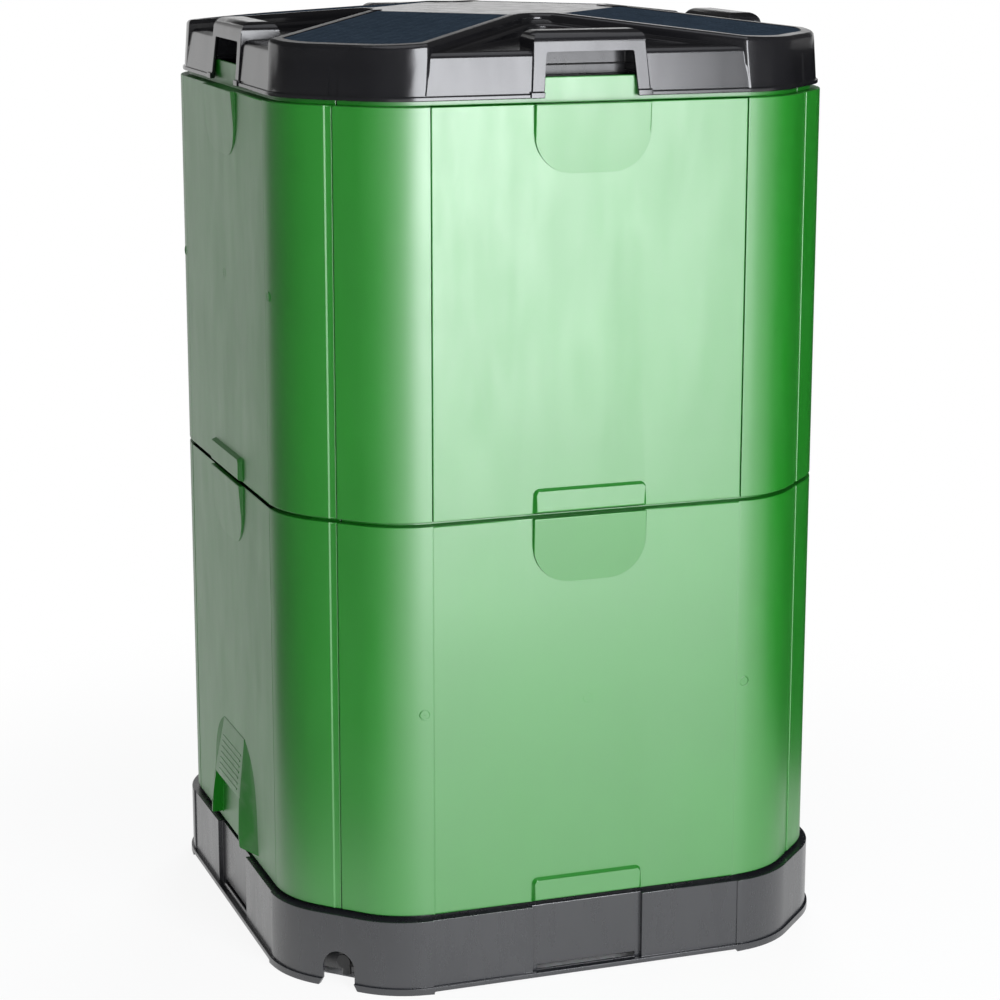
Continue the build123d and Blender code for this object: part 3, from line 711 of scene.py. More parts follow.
def merged(meshes: Sequence[bpy.types.Mesh], name: str) -> bpy.types.Mesh:
    """One mesh of several, with the material of the first.

    Args:
        meshes: Meshes that share one material.
        name: Name of the result.

    Returns:
        The joined mesh.
    """
    form = bmesh.new()
    for mesh in meshes:
        form.from_mesh(mesh)
    for face in form.faces:
        face.material_index = 0
    joined = bpy.data.meshes.new(name)
    form.to_mesh(joined)
    form.free()
    joined.materials.append(next(coat for coat in meshes[0].materials if coat))
    joined.shade_smooth()
    joined.set_sharp_from_angle(angle=SMOOTH_BELOW)
    return joined


def bead(radius: float, length: float, material: bpy.types.Material) -> bpy.types.Mesh:
    """Round bead along Z, with its middle at the origin, used as painted shade deep in joints.

    Args:
        radius: Radius in metres.
        length: Length in metres.
        material: Its finish.

    Returns:
        The mesh.
    """
    form = bmesh.new()
    bmesh.ops.create_cone(
        form, cap_ends=True, segments=BEAD_SIDES, radius1=radius, radius2=radius, depth=length
    )
    mesh = bpy.data.meshes.new("bead")
    form.to_mesh(mesh)
    form.free()
    mesh.materials.append(material)
    return mesh


class RowTree:
    """Geometry Nodes tree whose inputs are named sizes, with a shared tail."""

    def __init__(self, name: str, inputs: Iterable[tuple[str, str]]) -> None:
        """Start the tree.

        Args:
            name: Name of the tree.
            inputs: Names of the inputs and their socket types.
        """
        self.tree = bpy.data.node_groups.new(name, "GeometryNodeTree")
        for label, kind in inputs:
            self.tree.interface.new_socket(label, in_out="INPUT", socket_type=kind)
        self.tree.interface.new_socket("Material", in_out="INPUT", socket_type="NodeSocketMaterial")
        self.tree.interface.new_socket("Geometry", in_out="OUTPUT", socket_type="NodeSocketGeometry")
        self.board = NodeBoard(self.tree)
        self.sizes = self.board.put("NodeGroupInput").outputs

    def vector(self, x: Value, y: Value, z: Value) -> bpy.types.NodeSocket:
        """Vector of three sockets or numbers.

        Args:
            x: First part.
            y: Second part.
            z: Third part.

        Returns:
            The vector's socket.
        """
        node = self.board.put("ShaderNodeCombineXYZ")
        for place, value in enumerate((x, y, z)):
            if isinstance(value, bpy.types.NodeSocket):
                self.board.join(value, node.inputs[place])
            else:
                node.inputs[place].default_value = value
        return node.outputs[0]

    def places(self) -> bpy.types.NodeOutputs:
        """Coordinates of each point.

        Returns:
            The sockets X, Y and Z.
        """
        parts = self.board.put("ShaderNodeSeparateXYZ")
        self.board.join(self.board.put("GeometryNodeInputPosition").outputs[0], parts.inputs[0])
        return parts.outputs

    def bar(self, sides: int, turn: tuple[float, float, float]) -> bpy.types.NodeSocket:
        """Round bar of half length one, with the tree's radius.

        Args:
            sides: Number of its sides.
            turn: Turn that lays the bar down, in radians.

        Returns:
            The bar.
        """
        bar = self.board.put("GeometryNodeMeshCylinder", {"Vertices": sides, "Depth": 2.0}, fill_type="NGON")
        self.board.join(self.sizes["Radius"], bar.inputs["Radius"])
        lay = self.board.put("GeometryNodeTransform", {"Rotation": turn})
        self.board.join(bar.outputs["Mesh"], lay.inputs["Geometry"])
        return lay.outputs["Geometry"]

    def copies(
        self, points: bpy.types.NodeSocket, piece: bpy.types.NodeSocket, **inputs: bpy.types.NodeSocket
    ) -> bpy.types.NodeSocket:
        """Copies of a piece on points.

        Args:
            points: The points.
            piece: The piece.
            inputs: Other inputs of the copies, such as Scale and Rotation.

        Returns:
            The copies.
        """
        node = self.board.put("GeometryNodeInstanceOnPoints")
        for name, socket in {"Points": points, "Instance": piece, **inputs}.items():
            self.board.join(socket, node.inputs[name])
        return node.outputs["Instances"]

    def finish(self, geometry: bpy.types.NodeSocket) -> bpy.types.NodeTree:
        """End the tree in Realize Instances and Set Material.

        Args:
            geometry: The instances.

        Returns:
            The finished tree.
        """
        board = self.board
        real = board.put("GeometryNodeRealizeInstances")
        coat = board.put("GeometryNodeSetMaterial")
        out = board.put("NodeGroupOutput")
        board.join(geometry, real.inputs["Geometry"])
        board.join(real.outputs["Geometry"], coat.inputs["Geometry"])
        board.join(self.sizes["Material"], coat.inputs["Material"])
        board.join(coat.outputs["Geometry"], out.inputs[0])
        return self.tree


@dataclass
class DrainBase:
    """Black drain base with its tray, slotted floor and tap."""

    shop: Workshop
    skirt_edge: EdgeRounding = EdgeRounding(0.0008)
    tap_edge: EdgeRounding = EdgeRounding(0.0005)

    def build(self) -> None:
        """Round what shows and dress what is inside."""
        self.shop.round("base_skirt", self.skirt_edge)
        for node in ("tap_body", "tap_lever"):
            self.shop.round(node, self.tap_edge)
        for node in ("leachate_tray", "drain_floor", "tap_washer", "tap_nut"):
            self.shop.dress(node)


HOOD_SIDES = {"left_door_shell": Side.LEFT, "right_door_shell": Side.RIGHT}


@dataclass
class WallTiers:
    """Two tiers of foam-filled wall panels, frames, doors and inserts."""

    shop: Workshop
    panel_edge: EdgeRounding = EdgeRounding(0.0014, 3)
    gate_count: int = 3
    gate_pitch: float = 0.211
    gate_ring: float = 0.0060
    gate_bead: float = 0.0007
    gate_proud: float = 0.00015
    gate_height: float = 0.257
    gate_steps: int = 20
    gate_sides: int = 8
    dot_segments: int = 12
    dot_rings: int = 6
    face: float = 0.358
    lower_tier: float = 0.100
    upper_tier: float = 0.595
    hood_top: float = 0.148
    hood_drop: float = 0.139
    hood_proud: float = 0.015
    hood_foot: float = 0.135
    flank_lean: float = 0.03
    mouth_half: float = 0.067
    mouth_depth: float = 0.0005
    rib_count: int = 7
    rib_pitch: float = 0.0075
    rib_first: float = 0.024
    rib_half: float = 0.046
    rib_radius: float = 0.0016
    rib_proud: float = 0.0007
    rib_sides: int = 12
    # Dark bead of painted shade deep in each corner joint.
    shade_bead_out: float = 0.415
    shade_bead_radius: float = 0.0009
    shade_bead_low: float = 0.128
    shade_bead_high: float = 1.114
    panel_height: float = 0.490
    corner_out: float = 0.4285
    step_from_joint: float = 0.01055
    step_depth: float = 0.00125
    step_run: float = 0.0019

    def build(self) -> None:
        """Round the green shells, dress the cores and liners, and add the small marks."""
        for node, slot in self.shop.slot_of.items():
            if slot is Slot.PANEL:
                shell = self.shop.round(node, self.panel_edge)
                if node in HOOD_SIDES:
                    self.paint_hood_shade(shell, HOOD_SIDES[node])
            elif node.endswith(("_core", "_liner")) and not node.startswith("lid_"):
                self.shop.dress(node)
        self.add_gate_marks()
        self.add_hood_ribs()
        self.add_corner_shade_beads()
        self.add_step_slopes()

    def paint_hood_shade(self, shell: bpy.types.Object, side: Side) -> None:
        """Give the flanks and the mouth of a door's hood a less glossy copy of the panel plastic as painted
        shade, so that they lose their pale reflections and read darker, as the same plastic does in the
        hood's shade.

        Args:
            shell: The rounded door.
            side: Side of the bin that it closes.
        """
        mesh = shell.data
        mesh.materials.append(self.shop.finishes[PANEL_HOOD_SHADE])
        to_front = side.turn().inverted()
        for face in mesh.polygons:
            across, depth, height = to_front @ face.center
            lean = abs((to_front.to_3x3() @ face.normal).x)
            if abs(across) < self.hood_foot and 0.0 < height - self.lower_tier < self.hood_top:
                flank = lean > self.flank_lean and -depth > self.face
                mouth = abs(across) < self.mouth_half and -depth < self.face - self.mouth_depth
                if flank or mouth:
                    face.material_index = 1

    def gate_tree(self) -> bpy.types.NodeTree:
        """Tree of a row of ring-shaped gate marks.

        Returns:
            The tree.
        """
        row = RowTree(
            "gate_marks",
            [
                ("Count", "NodeSocketInt"),
                ("Pitch", "NodeSocketFloat"),
                ("Ring", "NodeSocketFloat"),
                ("Bead", "NodeSocketFloat"),
            ],
        )
        board, sizes = row.board, row.sizes
        line = board.put("GeometryNodeMeshLine", mode="OFFSET")
        board.join(sizes["Count"], line.inputs["Count"])
        board.join(row.vector(sizes["Pitch"], 0.0, 0.0), line.inputs["Offset"])
        ring = board.put("GeometryNodeCurvePrimitiveCircle", {"Resolution": self.gate_steps})
        profile = board.put("GeometryNodeCurvePrimitiveCircle", {"Resolution": self.gate_sides})
        board.join(sizes["Ring"], ring.inputs["Radius"])
        board.join(sizes["Bead"], profile.inputs["Radius"])
        tube = board.put("GeometryNodeCurveToMesh")
        board.join(ring.outputs["Curve"], tube.inputs["Curve"])
        board.join(profile.outputs["Curve"], tube.inputs["Profile Curve"])
        dot_sizes = {"Segments": self.dot_segments, "Rings": self.dot_rings}
        dot = board.put("GeometryNodeMeshUVSphere", dot_sizes)
        board.join(sizes["Bead"], dot.inputs["Radius"])
        mark = board.put("GeometryNodeJoinGeometry")
        board.join(dot.outputs["Mesh"], mark.inputs["Geometry"])
        board.join(tube.outputs["Mesh"], mark.inputs["Geometry"])
        upright = row.vector(math.pi / 2, 0.0, 0.0)
        marks = row.copies(line.outputs["Mesh"], mark.outputs["Geometry"], Rotation=upright)
        return row.finish(marks)

    def add_gate_marks(self) -> None:
        """Gate marks at mid height of the plain panels."""
        tree = self.gate_tree()
        sizes = {
            "Count": self.gate_count,
            "Pitch": self.gate_pitch,
            "Ring": self.gate_ring,
            "Bead": self.gate_bead,
            "Material": self.shop.finishes[PANEL_GREEN],
        }
        sunk = self.gate_bead - self.gate_proud
        rows = []
        for side, tier in (
            (Side.FRONT, self.lower_tier),
            (Side.BACK, self.lower_tier),
            (Side.LEFT, self.upper_tier),
            (Side.RIGHT, self.upper_tier),
        ):
            mesh = grow(tree, sizes)
            place = Vector((-self.gate_pitch, -self.face + sunk, tier + self.gate_height))
            mesh.transform(side.turn() @ Matrix.Translation(place))
            rows.append(mesh)
        self.shop.add(merged(rows, "panel_gate_marks"), "panel_gate_marks", Body.BIN.value, Slot.PANEL)

    def hood_rib_tree(self) -> bpy.types.NodeTree:
        """Tree of grip ribs across a hood's plate, which follow the plate's bow.

        Returns:
            The tree.
        """
        labels = ("Pitch", "First", "Drop", "Proud", "Radius", "Half Width")
        row = RowTree(
            "hood_ribs",
            [("Count", "NodeSocketInt"), *((label, "NodeSocketFloat") for label in labels)],
        )
        board, sizes = row.board, row.sizes
        line = board.put("GeometryNodeMeshLine", mode="OFFSET")
        down = [board.math("MULTIPLY", sizes[label], -1.0) for label in ("First", "Pitch")]
        board.join(sizes["Count"], line.inputs["Count"])
        board.join(row.vector(0.0, 0.0, down[0]), line.inputs["Start Location"])
        board.join(row.vector(0.0, 0.0, down[1]), line.inputs["Offset"])
        share = board.math("DIVIDE", board.math("ABSOLUTE", row.places()["Z"]), sizes["Drop"])
        bow = board.math("SINE", board.math("MULTIPLY", share, math.pi / 2))
        move = board.put("GeometryNodeSetPosition")
        outward = board.math("MULTIPLY", board.math("MULTIPLY", bow, sizes["Proud"]), -1.0)
        board.join(line.outputs["Mesh"], move.inputs["Geometry"])
        board.join(row.vector(0.0, outward, 0.0), move.inputs["Offset"])
        bar = row.bar(self.rib_sides, (0.0, math.pi / 2, 0.0))
        stretch = row.vector(sizes["Half Width"], 1.0, 1.0)
        return row.finish(row.copies(move.outputs["Geometry"], bar, Scale=stretch))

    def add_hood_ribs(self) -> None:
        """Grip ribs on the hood's plate of each door."""
        tree = self.hood_rib_tree()
        sizes = {
            "Count": self.rib_count,
            "Pitch": self.rib_pitch,
            "First": self.rib_first,
            "Drop": self.hood_drop,
            "Proud": self.hood_proud,
            "Radius": self.rib_radius,
            "Half Width": self.rib_half,
            "Material": self.shop.finishes[PANEL_GREEN],
        }
        place = Vector((0.0, self.rib_radius - self.rib_proud - self.face, self.lower_tier + self.hood_top))
        for side, body in ((Side.LEFT, Body.LEFT_DOOR), (Side.RIGHT, Body.RIGHT_DOOR)):
            mesh = grow(tree, sizes)
            mesh.transform(side.turn() @ Matrix.Translation(place))
            name = body.value + "_hood_ribs"
            self.shop.add(merged([mesh], name), name, body.value, Slot.PANEL)

    def add_corner_shade_beads(self) -> None:
        """Dark bead deep in the upright joint of the panels at each corner, as painted shade: it closes the
        open joint, and its near-black stands for the shade deep inside it.
        """
        beads = []
        place = Vector((0.0, -self.shade_bead_out, (self.shade_bead_low + self.shade_bead_high) / 2))
        for side in Side:
            mesh = bead(self.shade_bead_radius, self.shade_bead_high - self.shade_bead_low, self.shop.finishes[SEAL_RUBBER_AND_SHADE])
            mesh.transform(side.turn() @ DIAGONAL @ Matrix.Translation(place))
            beads.append(mesh)
        self.shop.add(merged(beads, "corner_shade_beads"), "corner_shade_beads", Body.BIN.value, Slot.SEAL)

    def add_step_slopes(self) -> None:
        """Sloped foot of the shallow step beside each corner joint, which catches the light."""
        floor = self.step_depth - self.corner_out
        foot = self.step_run - self.step_from_joint
        plan = [(-self.step_from_joint, -self.corner_out), (-self.step_from_joint, floor), (foot, floor)]
        faces = [(0, 1, 2), (5, 4, 3), (0, 3, 4, 1), (1, 4, 5, 2), (2, 5, 3, 0)]
        slopes = []
        for side in Side:
            for tier in (self.lower_tier, self.upper_tier):
                mesh = bpy.data.meshes.new("step_slope")
                ends = (tier, tier + self.panel_height)
                mesh.from_pydata([(x, y, z) for z in ends for x, y in plan], [], faces)
                mesh.transform(side.turn() @ DIAGONAL)
                mesh.materials.append(self.shop.finishes[PANEL_GREEN])
                slopes.append(mesh)
        name = "corner_step_slopes"
        self.shop.add(merged(slopes, name), name, Body.BIN.value, Slot.PANEL)


@dataclass
class Lid:
    """Black lift-off lid with ribbed bands and hand hoops."""

    shop: Workshop
    shell_edge: EdgeRounding = EdgeRounding(0.0010)
    inner_edge: EdgeRounding = EdgeRounding(0.0006)
    crown: float = 1.178
    field_depth: float = 0.0012
    field_half: float = 0.090
    field_level: float = 0.9
    field_nearest: float = 0.4
    field_farthest: float = 1.8
    bend: float = 0.136
    slope: float = 0.0855
    end_flat: float = 0.0314
    end_centre: float = 0.3165
    end_radius: float = 0.084
    inner_wall: float = 0.317
    inner_half: float = 0.057
    inner_upright: float = 0.99
    inner_within: float = 0.001
    inner_joint: float = 1.127
    bead_radius: float = 0.0007
    rib_pitch: float = 0.012
    rib_radius: float = 0.0020
    rib_proud: float = 0.0006
    rib_sides: int = 8
    line_count: int = 13

    def build(self) -> None:
        """Round the shell and liner, dress the rest and add the ribbed fields and the dark joint beads of
        painted shade.
        """
        shell = self.shop.round("lid_shell", self.shell_edge)
        self.paint_field(shell)
        self.paint_inner_wall_shade(shell)
        liner = self.shop.round("lid_liner", self.inner_edge)
        # The liner seen through the hoops gets the same painted shade.
        liner.data.materials[0] = self.shop.finishes[LID_INNER_SHADE]
        for node in ("lid_core", "lid_screws"):
            self.shop.dress(node)
        self.add_ribs()
        self.add_joint_shade_beads()

    def surface(self, along: float) -> float:
        """Height of a band's top.

        Args:
            along: Distance from the crown along the band.

        Returns:
            The height in metres.
        """
        return self.crown - max(0.0, abs(along) - self.bend) * self.slope

    def paint_field(self, shell: bpy.types.Object) -> None:
        """Give the sunk fields on the bands a navy tint with no mirror reflection, as painted reflection of
        dark blue surroundings on the lid's dark plastic.

        Args:
            shell: The rounded lid.
        """
        mesh = shell.data
        mesh.materials.append(self.shop.finishes[LID_FIELD_REFLECTION])
        painted = 0
        for face in mesh.polygons:
            x, y, z = face.center
            arm, other = sorted((abs(x + y) / math.sqrt(2), abs(x - y) / math.sqrt(2)), reverse=True)
            sunk = self.surface(arm) - z
            at_depth = self.field_nearest < sunk / self.field_depth < self.field_farthest
            on_arm = arm > self.bend and other < self.field_half
            if face.normal.z > self.field_level and at_depth and on_arm:
                face.material_index = 1
                painted += 1
        LOG.info("painted %d faces of the lid's fields", painted)

    def paint_inner_wall_shade(self, shell: bpy.types.Object) -> None:
        """Give the walls behind the hoops a less glossy copy of the lid's black plastic as painted shade, so
        that they read darker than the hoops, as in the shade behind them.

        Args:
            shell: The rounded lid.
        """
        mesh = shell.data
        mesh.materials.append(self.shop.finishes[LID_INNER_SHADE])
        for face in mesh.polygons:
            along, across = sorted(map(abs, face.center[:2]), reverse=True)
            upright = max(map(abs, face.normal[:2])) > self.inner_upright
            behind_hoop = abs(along - self.inner_wall) < self.inner_within and across < self.inner_half
            if upright and behind_hoop:
                face.material_index = 2

    def add_joint_shade_beads(self) -> None:
        """Dark bead in the joint of shell and liner behind each hoop, as painted shade for the dark shadow
        gap under each hoop.
        """
        beads = []
        place = Vector((0.0, self.bead_radius - self.inner_wall, self.inner_joint))
        lay = Matrix.Rotation(math.pi / 2, 4, "Y")
        for side in Side:
            mesh = bead(self.bead_radius, 2 * self.inner_half, self.shop.finishes[SEAL_RUBBER_AND_SHADE])
            mesh.transform(side.turn() @ Matrix.Translation(place) @ lay)
            beads.append(mesh)
        self.shop.add(merged(beads, "lid_joint_shade_beads"), "lid_joint_shade_beads", Body.LID.value, Slot.SEAL)

    def rib_tree(self) -> bpy.types.NodeTree:
        """Tree of a grid of ribs on one arm, which ends in the corner's round.

        Returns:
            The tree.
        """
        labels = ("Start", "Pitch", "Radius", "Half Width", "Slope", "End Flat", "End Centre", "End Radius")
        row = RowTree(
            "band_ribs",
            [
                ("Count", "NodeSocketInt"),
                ("Lines", "NodeSocketInt"),
                *((label, "NodeSocketFloat") for label in labels),
            ],
        )
        board = row.board
        grid = board.put("GeometryNodeJoinGeometry")
        board.join(self.cross_ribs(row), grid.inputs["Geometry"])
        board.join(self.long_ribs(row), grid.inputs["Geometry"])
        return row.finish(grid.outputs["Geometry"])

    def round_end(self, row: RowTree, offset: bpy.types.NodeSocket, centre: Value) -> bpy.types.NodeSocket:
        """Reach of the arm's round end, past the line through its centre.

        Args:
            row: The tree.
            offset: Distance from the arm's middle line or from the crown.
            centre: Where the round starts on that distance.

        Returns:
            The reach at that offset.
        """
        board, radius = row.board, row.sizes["End Radius"]
        past = board.math("MAXIMUM", board.math("SUBTRACT", offset, centre), 0.0)
        squares = [board.math("MULTIPLY", length, length) for length in (radius, past)]
        return board.math("SQRT", board.math("MAXIMUM", board.math("SUBTRACT", *squares), 0.0))

    def cross_ribs(self, row: RowTree) -> bpy.types.NodeSocket:
        """Ribs across the arm, shorter towards its round end.

        Args:
            row: The tree.

        Returns:
            The ribs.
        """
        board, sizes = row.board, row.sizes
        line = board.put("GeometryNodeMeshLine", mode="OFFSET")
        fall = board.math("MULTIPLY", sizes["Slope"], -1.0)
        step = board.math("MULTIPLY", sizes["Pitch"], fall)
        board.join(sizes["Count"], line.inputs["Count"])
        board.join(row.vector(sizes["Start"], 0.0, 0.0), line.inputs["Start Location"])
        board.join(row.vector(sizes["Pitch"], 0.0, step), line.inputs["Offset"])
        chord = self.round_end(row, row.places()["X"], sizes["End Centre"])
        half = board.math("MINIMUM", board.math("ADD", chord, sizes["End Flat"]), sizes["Half Width"])
        bar = row.bar(self.rib_sides, (math.pi / 2, 0.0, 0.0))
        return row.copies(line.outputs["Mesh"], bar, Scale=row.vector(1.0, half, 1.0))

    def long_ribs(self, row: RowTree) -> bpy.types.NodeSocket:
        """Ribs along the arm, each from its start to the round end.

        Args:
            row: The tree.

        Returns:
            The ribs.
        """
        board, sizes = row.board, row.sizes
        line = board.put("GeometryNodeMeshLine", mode="END_POINTS")
        edge = board.math("MULTIPLY", sizes["Half Width"], -1.0)
        board.join(sizes["Lines"], line.inputs["Count"])
        board.join(row.vector(0.0, edge, 0.0), line.inputs["Start Location"])
        board.join(row.vector(0.0, sizes["Half Width"], 0.0), line.inputs["Offset"])
        aside = board.math("ABSOLUTE", row.places()["Y"])
        end = board.math("ADD", self.round_end(row, aside, sizes["End Flat"]), sizes["End Centre"])
        half = board.math("DIVIDE", board.math("SUBTRACT", end, sizes["Start"]), 2.0)
        middle = board.math("ADD", sizes["Start"], half)
        drop = board.math("MULTIPLY", board.math("MULTIPLY", half, sizes["Slope"]), -1.0)
        move = board.put("GeometryNodeSetPosition")
        board.join(line.outputs["Mesh"], move.inputs["Geometry"])
        board.join(row.vector(middle, 0.0, drop), move.inputs["Offset"])
        bar = row.bar(self.rib_sides, (0.0, math.pi / 2, 0.0))
        tilt = row.vector(0.0, board.math("ARCTANGENT", sizes["Slope"]), 0.0)
        stretch = row.vector(half, 1.0, 1.0)
        return row.copies(move.outputs["Geometry"], bar, Scale=stretch, Rotation=tilt)

    def add_ribs(self) -> None:
        """Grid of fine ribs on the four arms of the sunk fields, in the same navy painted reflection."""
        tree = self.rib_tree()
        start = self.bend + self.rib_pitch / 2
        reach = self.end_centre + self.end_radius - start
        sizes = {
            "Count": int(reach / self.rib_pitch),
            "Lines": self.line_count,
            "Start": start,
            "Pitch": self.rib_pitch,
            "Radius": self.rib_radius,
            "Half Width": self.field_half - self.rib_radius,
            "Slope": self.slope,
            "End Flat": self.end_flat,
            "End Centre": self.end_centre,
            "End Radius": self.end_radius,
            "Material": self.shop.finishes[LID_FIELD_REFLECTION],
        }
        lift = self.surface(start) - self.field_depth + self.rib_proud - self.rib_radius
        arms = []
        for side in Side:
            mesh = grow(tree, sizes)
            mesh.transform(side.turn() @ DIAGONAL @ Matrix.Translation((0.0, 0.0, lift)))
            arms.append(mesh)
        self.shop.add(merged(arms, "lid_band_ribs"), "lid_band_ribs", Body.LID.value, Slot.LID)


@dataclass
class AerationLung:
    """Slotted tube that stands in the middle of the bin."""

    shop: Workshop

    def build(self) -> None:
        """Dress the tubes and the cap."""
        for node in ("lung_lower", "lung_upper", "lung_cap"):
            self.shop.dress(node)


@dataclass
class Softbox:
    """Large soft studio lamp."""

    name: str
    azimuth: float
    distance: float
    height: float
    width: float
    tall: float
    radiance: float
    tint: Colour = (0.97, 0.985, 1.03)
    aim: float = 0.6
    shines: bool = True

    def build(self) -> None:
        """Hang the lamp and turn it to the bin."""
        lamp = bpy.data.lights.new(self.name, "AREA")
        lamp.shape = "RECTANGLE"
        lamp.size, lamp.size_y = self.width, self.tall
        lamp.color = self.tint
        lamp.energy = self.radiance * math.pi * self.width * self.tall
        holder = bpy.data.objects.new(self.name, lamp)
        angle = math.radians(self.azimuth)
        place = Vector((math.sin(angle), -math.cos(angle), 0.0)) * self.distance
        place.z = self.height
        holder.location = place
        holder.rotation_euler = (Vector((0.0, 0.0, self.aim)) - place).to_track_quat("-Z", "Y").to_euler()
        holder.visible_camera = False
        holder.visible_glossy = self.shines
        bpy.context.scene.collection.objects.link(holder)
        LOG.info("hung %s", self.name)


@dataclass
class Card:
    """Upright card that only mirror-like rays meet: white to shine in the bin, black to keep it deep."""

    name: str
    azimuth: float
    distance: float
    width: float
    top: float
    radiance: float

    def build(self) -> None:
        """Stand the card on the floor, facing the bin."""
        half = self.width / 2
        corners = [(-half, 0, 0), (half, 0, 0), (half, 0, self.top), (-half, 0, self.top)]
        mesh = bpy.data.meshes.new(self.name)
        mesh.from_pydata(corners, [], [(0, 1, 2, 3)])
        turn = Matrix.Rotation(math.radians(self.azimuth), 4, "Z")
        mesh.transform(turn @ Matrix.Translation((0.0, -self.distance, 0.0)))
        card = bpy.data.objects.new(self.name, mesh)
        bpy.context.scene.collection.objects.link(card)
        card.visible_camera = False
        card.visible_diffuse = False
        card.visible_shadow = False
        material, board, surface = new_stage_paint(self.name)
        glow = board.put("ShaderNodeEmission", {"Strength": self.radiance})
        board.join(glow.outputs["Emission"], surface)
        mesh.materials.append(material)
        LOG.info("stood %s", self.name)


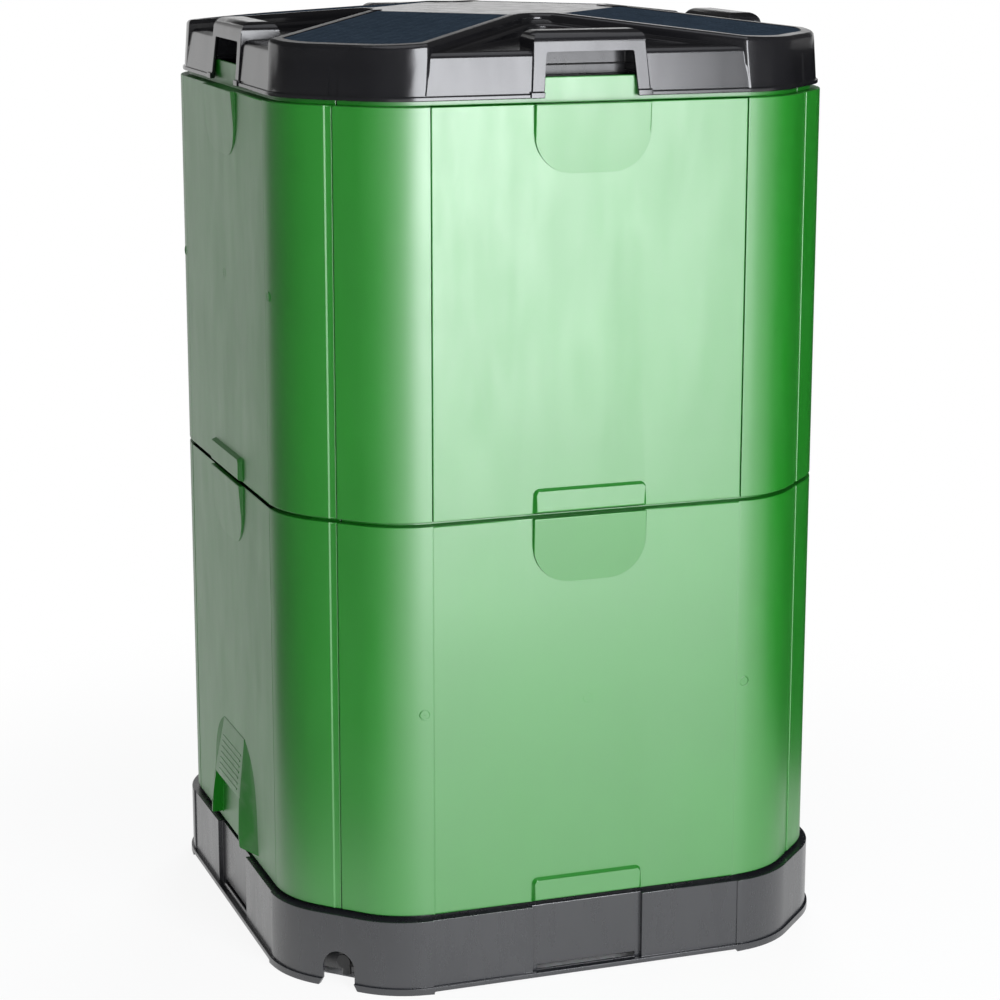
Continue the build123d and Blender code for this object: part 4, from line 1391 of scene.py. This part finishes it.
@dataclass
class Studio:
    """Pale floor, soft lamps and the camera at the photo's angle."""

    floor_half: float = 40.0
    floor_tone: tuple[float, float, float, float] = (0.9, 0.9, 0.9, 1.0)
    footprint_half: float = 0.362
    footprint_corner: float = 0.57
    shade_share: float = 0.10
    shade_reach: float = 0.6
    shade_end: float = 1.4
    fill: float = 0.12
    gloss_fill: float = 0.06
    camera_place: tuple[float, float, float] = (-1.19075, -3.36122, 1.3637)
    camera_yaw: float = -19.69
    camera_pitch: float = -13.19
    camera_roll: float = -0.06
    camera_lens: float = 98.68
    camera_sensor: float = 36.0
    lamps: list[Softbox] = field(
        default_factory=lambda: [
            Softbox(
                "key_softbox",
                azimuth=10.0,
                distance=4.0,
                height=1.05,
                width=1.8,
                tall=2.1,
                radiance=11.5,
            ),
            Softbox(
                "key_upper_softbox",
                azimuth=10.0,
                distance=4.0,
                height=2.5,
                width=1.8,
                tall=0.8,
                radiance=11.5,
                shines=False,
            ),
            Softbox(
                "fill_softbox",
                azimuth=-34.0,
                distance=4.0,
                height=1.4,
                width=2.0,
                tall=2.0,
                radiance=4.2,
                shines=False,
            ),
            Softbox(
                "back_softbox",
                azimuth=155.0,
                distance=4.0,
                height=1.6,
                width=1.8,
                tall=2.4,
                radiance=11.0,
                shines=False,
            ),
            Softbox("top_softbox", azimuth=0.0, distance=0.6, height=3.2, width=2.4, tall=2.4, radiance=0.9),
        ]
    )
    cards: list[Card] = field(
        default_factory=lambda: [
            Card("back_card", azimuth=180.0, distance=6.0, width=14.0, top=2.1, radiance=1.0),
            Card("back_veil", azimuth=180.0, distance=6.1, width=14.0, top=3.0, radiance=0.4),
            Card("front_card", azimuth=1.0, distance=1.45, width=0.7, top=0.35, radiance=1.6),
            Card("right_flag", azimuth=112.0, distance=0.75, width=2.4, top=1.12, radiance=0.0),
            Card("left_flag", azimuth=-82.0, distance=0.75, width=1.7, top=1.12, radiance=0.12),
        ]
    )

    def build(self) -> None:
        """Set the floor, the world, the lamps, the cards and the camera."""
        self.lay_floor()
        self.light_world()
        for piece in (*self.lamps, *self.cards):
            piece.build()
        self.set_camera()
        bpy.context.scene.view_settings.view_transform = "Standard"

    def lay_floor(self) -> None:
        """Pale floor that keeps the bin's shadow and fades to white around it."""
        half = self.floor_half
        mesh = bpy.data.meshes.new("studio_floor")
        corners = [(-half, -half, 0), (half, -half, 0), (half, half, 0), (-half, half, 0)]
        mesh.from_pydata(corners, [], [(0, 1, 2, 3)])
        floor = bpy.data.objects.new("studio_floor", mesh)
        bpy.context.scene.collection.objects.link(floor)
        material, board, surface = new_stage_paint("studio_floor")
        paint = board.put("ShaderNodeBsdfDiffuse", {"Color": self.floor_tone})
        glow = board.put("ShaderNodeEmission", {"Strength": 1.0})
        where = board.put("ShaderNodeTexCoord").outputs["Object"]
        span = board.put("ShaderNodeVectorMath", operation="LENGTH")
        board.join(where, span.inputs[0])
        fade = board.put(
            "ShaderNodeMapRange",
            {
                "From Min": self.shade_reach,
                "From Max": self.shade_end,
                "To Min": 1.0 - self.shade_share,
                "To Max": 1.0,
            },
            interpolation_type="SMOOTHSTEP",
        )
        board.join(span.outputs["Value"], fade.inputs["Value"])
        parts = board.put("ShaderNodeSeparateXYZ")
        board.join(where, parts.inputs[0])
        sides = [board.math("ABSOLUTE", parts.outputs[axis]) for axis in ("X", "Y")]
        beside = board.math(
            "MAXIMUM",
            board.math("GREATER_THAN", board.math("MAXIMUM", *sides), self.footprint_half),
            board.math("GREATER_THAN", board.math("ADD", *sides), self.footprint_corner),
        )
        share = board.math("MULTIPLY", fade.outputs["Result"], self.seen_directly(board))
        mix = board.put("ShaderNodeMixShader")
        board.join(board.math("MULTIPLY", share, beside), mix.inputs["Fac"])
        board.join(paint.outputs["BSDF"], mix.inputs[1])
        board.join(glow.outputs["Emission"], mix.inputs[2])
        board.join(mix.outputs["Shader"], surface)
        mesh.materials.append(material)

    def seen_directly(self, board: NodeBoard) -> bpy.types.NodeSocket:
        """One for rays that show the background: camera, mirror and glass rays.

        Args:
            board: Board of the floor's tree.

        Returns:
            The socket of that share.
        """
        path = board.put("ShaderNodeLightPath").outputs
        shown = board.math("MAXIMUM", path["Is Camera Ray"], path["Is Glossy Ray"])
        return board.math("MAXIMUM", shown, path["Is Transmission Ray"])

    def light_world(self) -> None:
        """White surroundings for the camera, a soft fill, and dim ones for mirror-like rays."""
        world = bpy.data.worlds.new("studio_world")
        bpy.context.scene.world = world
        world.use_nodes = True
        board = NodeBoard(world.node_tree)
        sky = world.node_tree.nodes["Background"]
        sky.inputs["Color"].default_value = (1.0, 1.0, 1.0, 1.0)
        path = board.put("ShaderNodeLightPath").outputs
        shown = board.put("ShaderNodeMapRange", {"To Min": self.fill, "To Max": 1.0})
        board.join(path["Is Camera Ray"], shown.inputs["Value"])
        dim = board.put("ShaderNodeMapRange", {"To Min": 1.0, "To Max": self.gloss_fill / self.fill})
        board.join(path["Is Glossy Ray"], dim.inputs["Value"])
        strength = board.math("MULTIPLY", shown.outputs["Result"], dim.outputs["Result"])
        board.join(strength, sky.inputs["Strength"])

    def set_camera(self) -> None:
        """Camera at the photo's place, angle and focal length."""
        lens = bpy.data.cameras.new("photo_camera")
        lens.lens = self.camera_lens
        lens.sensor_width = self.camera_sensor
        camera = bpy.data.objects.new("photo_camera", lens)
        camera.location = self.camera_place
        camera.rotation_euler = (
            math.radians(90 + self.camera_pitch),
            math.radians(self.camera_roll),
            math.radians(self.camera_yaw),
        )
        bpy.context.scene.collection.objects.link(camera)
        bpy.context.scene.camera = camera


def main() -> None:
    """Build the bin's sub-assemblies in order, then the studio round them."""
    logging.basicConfig(level=logging.INFO, format="%(message)s")
    shop = Workshop()
    for assembly in (DrainBase(shop), WallTiers(shop), Lid(shop), AerationLung(shop), Studio()):
        assembly.build()
        LOG.info("built %s", type(assembly).__name__)


if __name__ == "__main__":
    main()
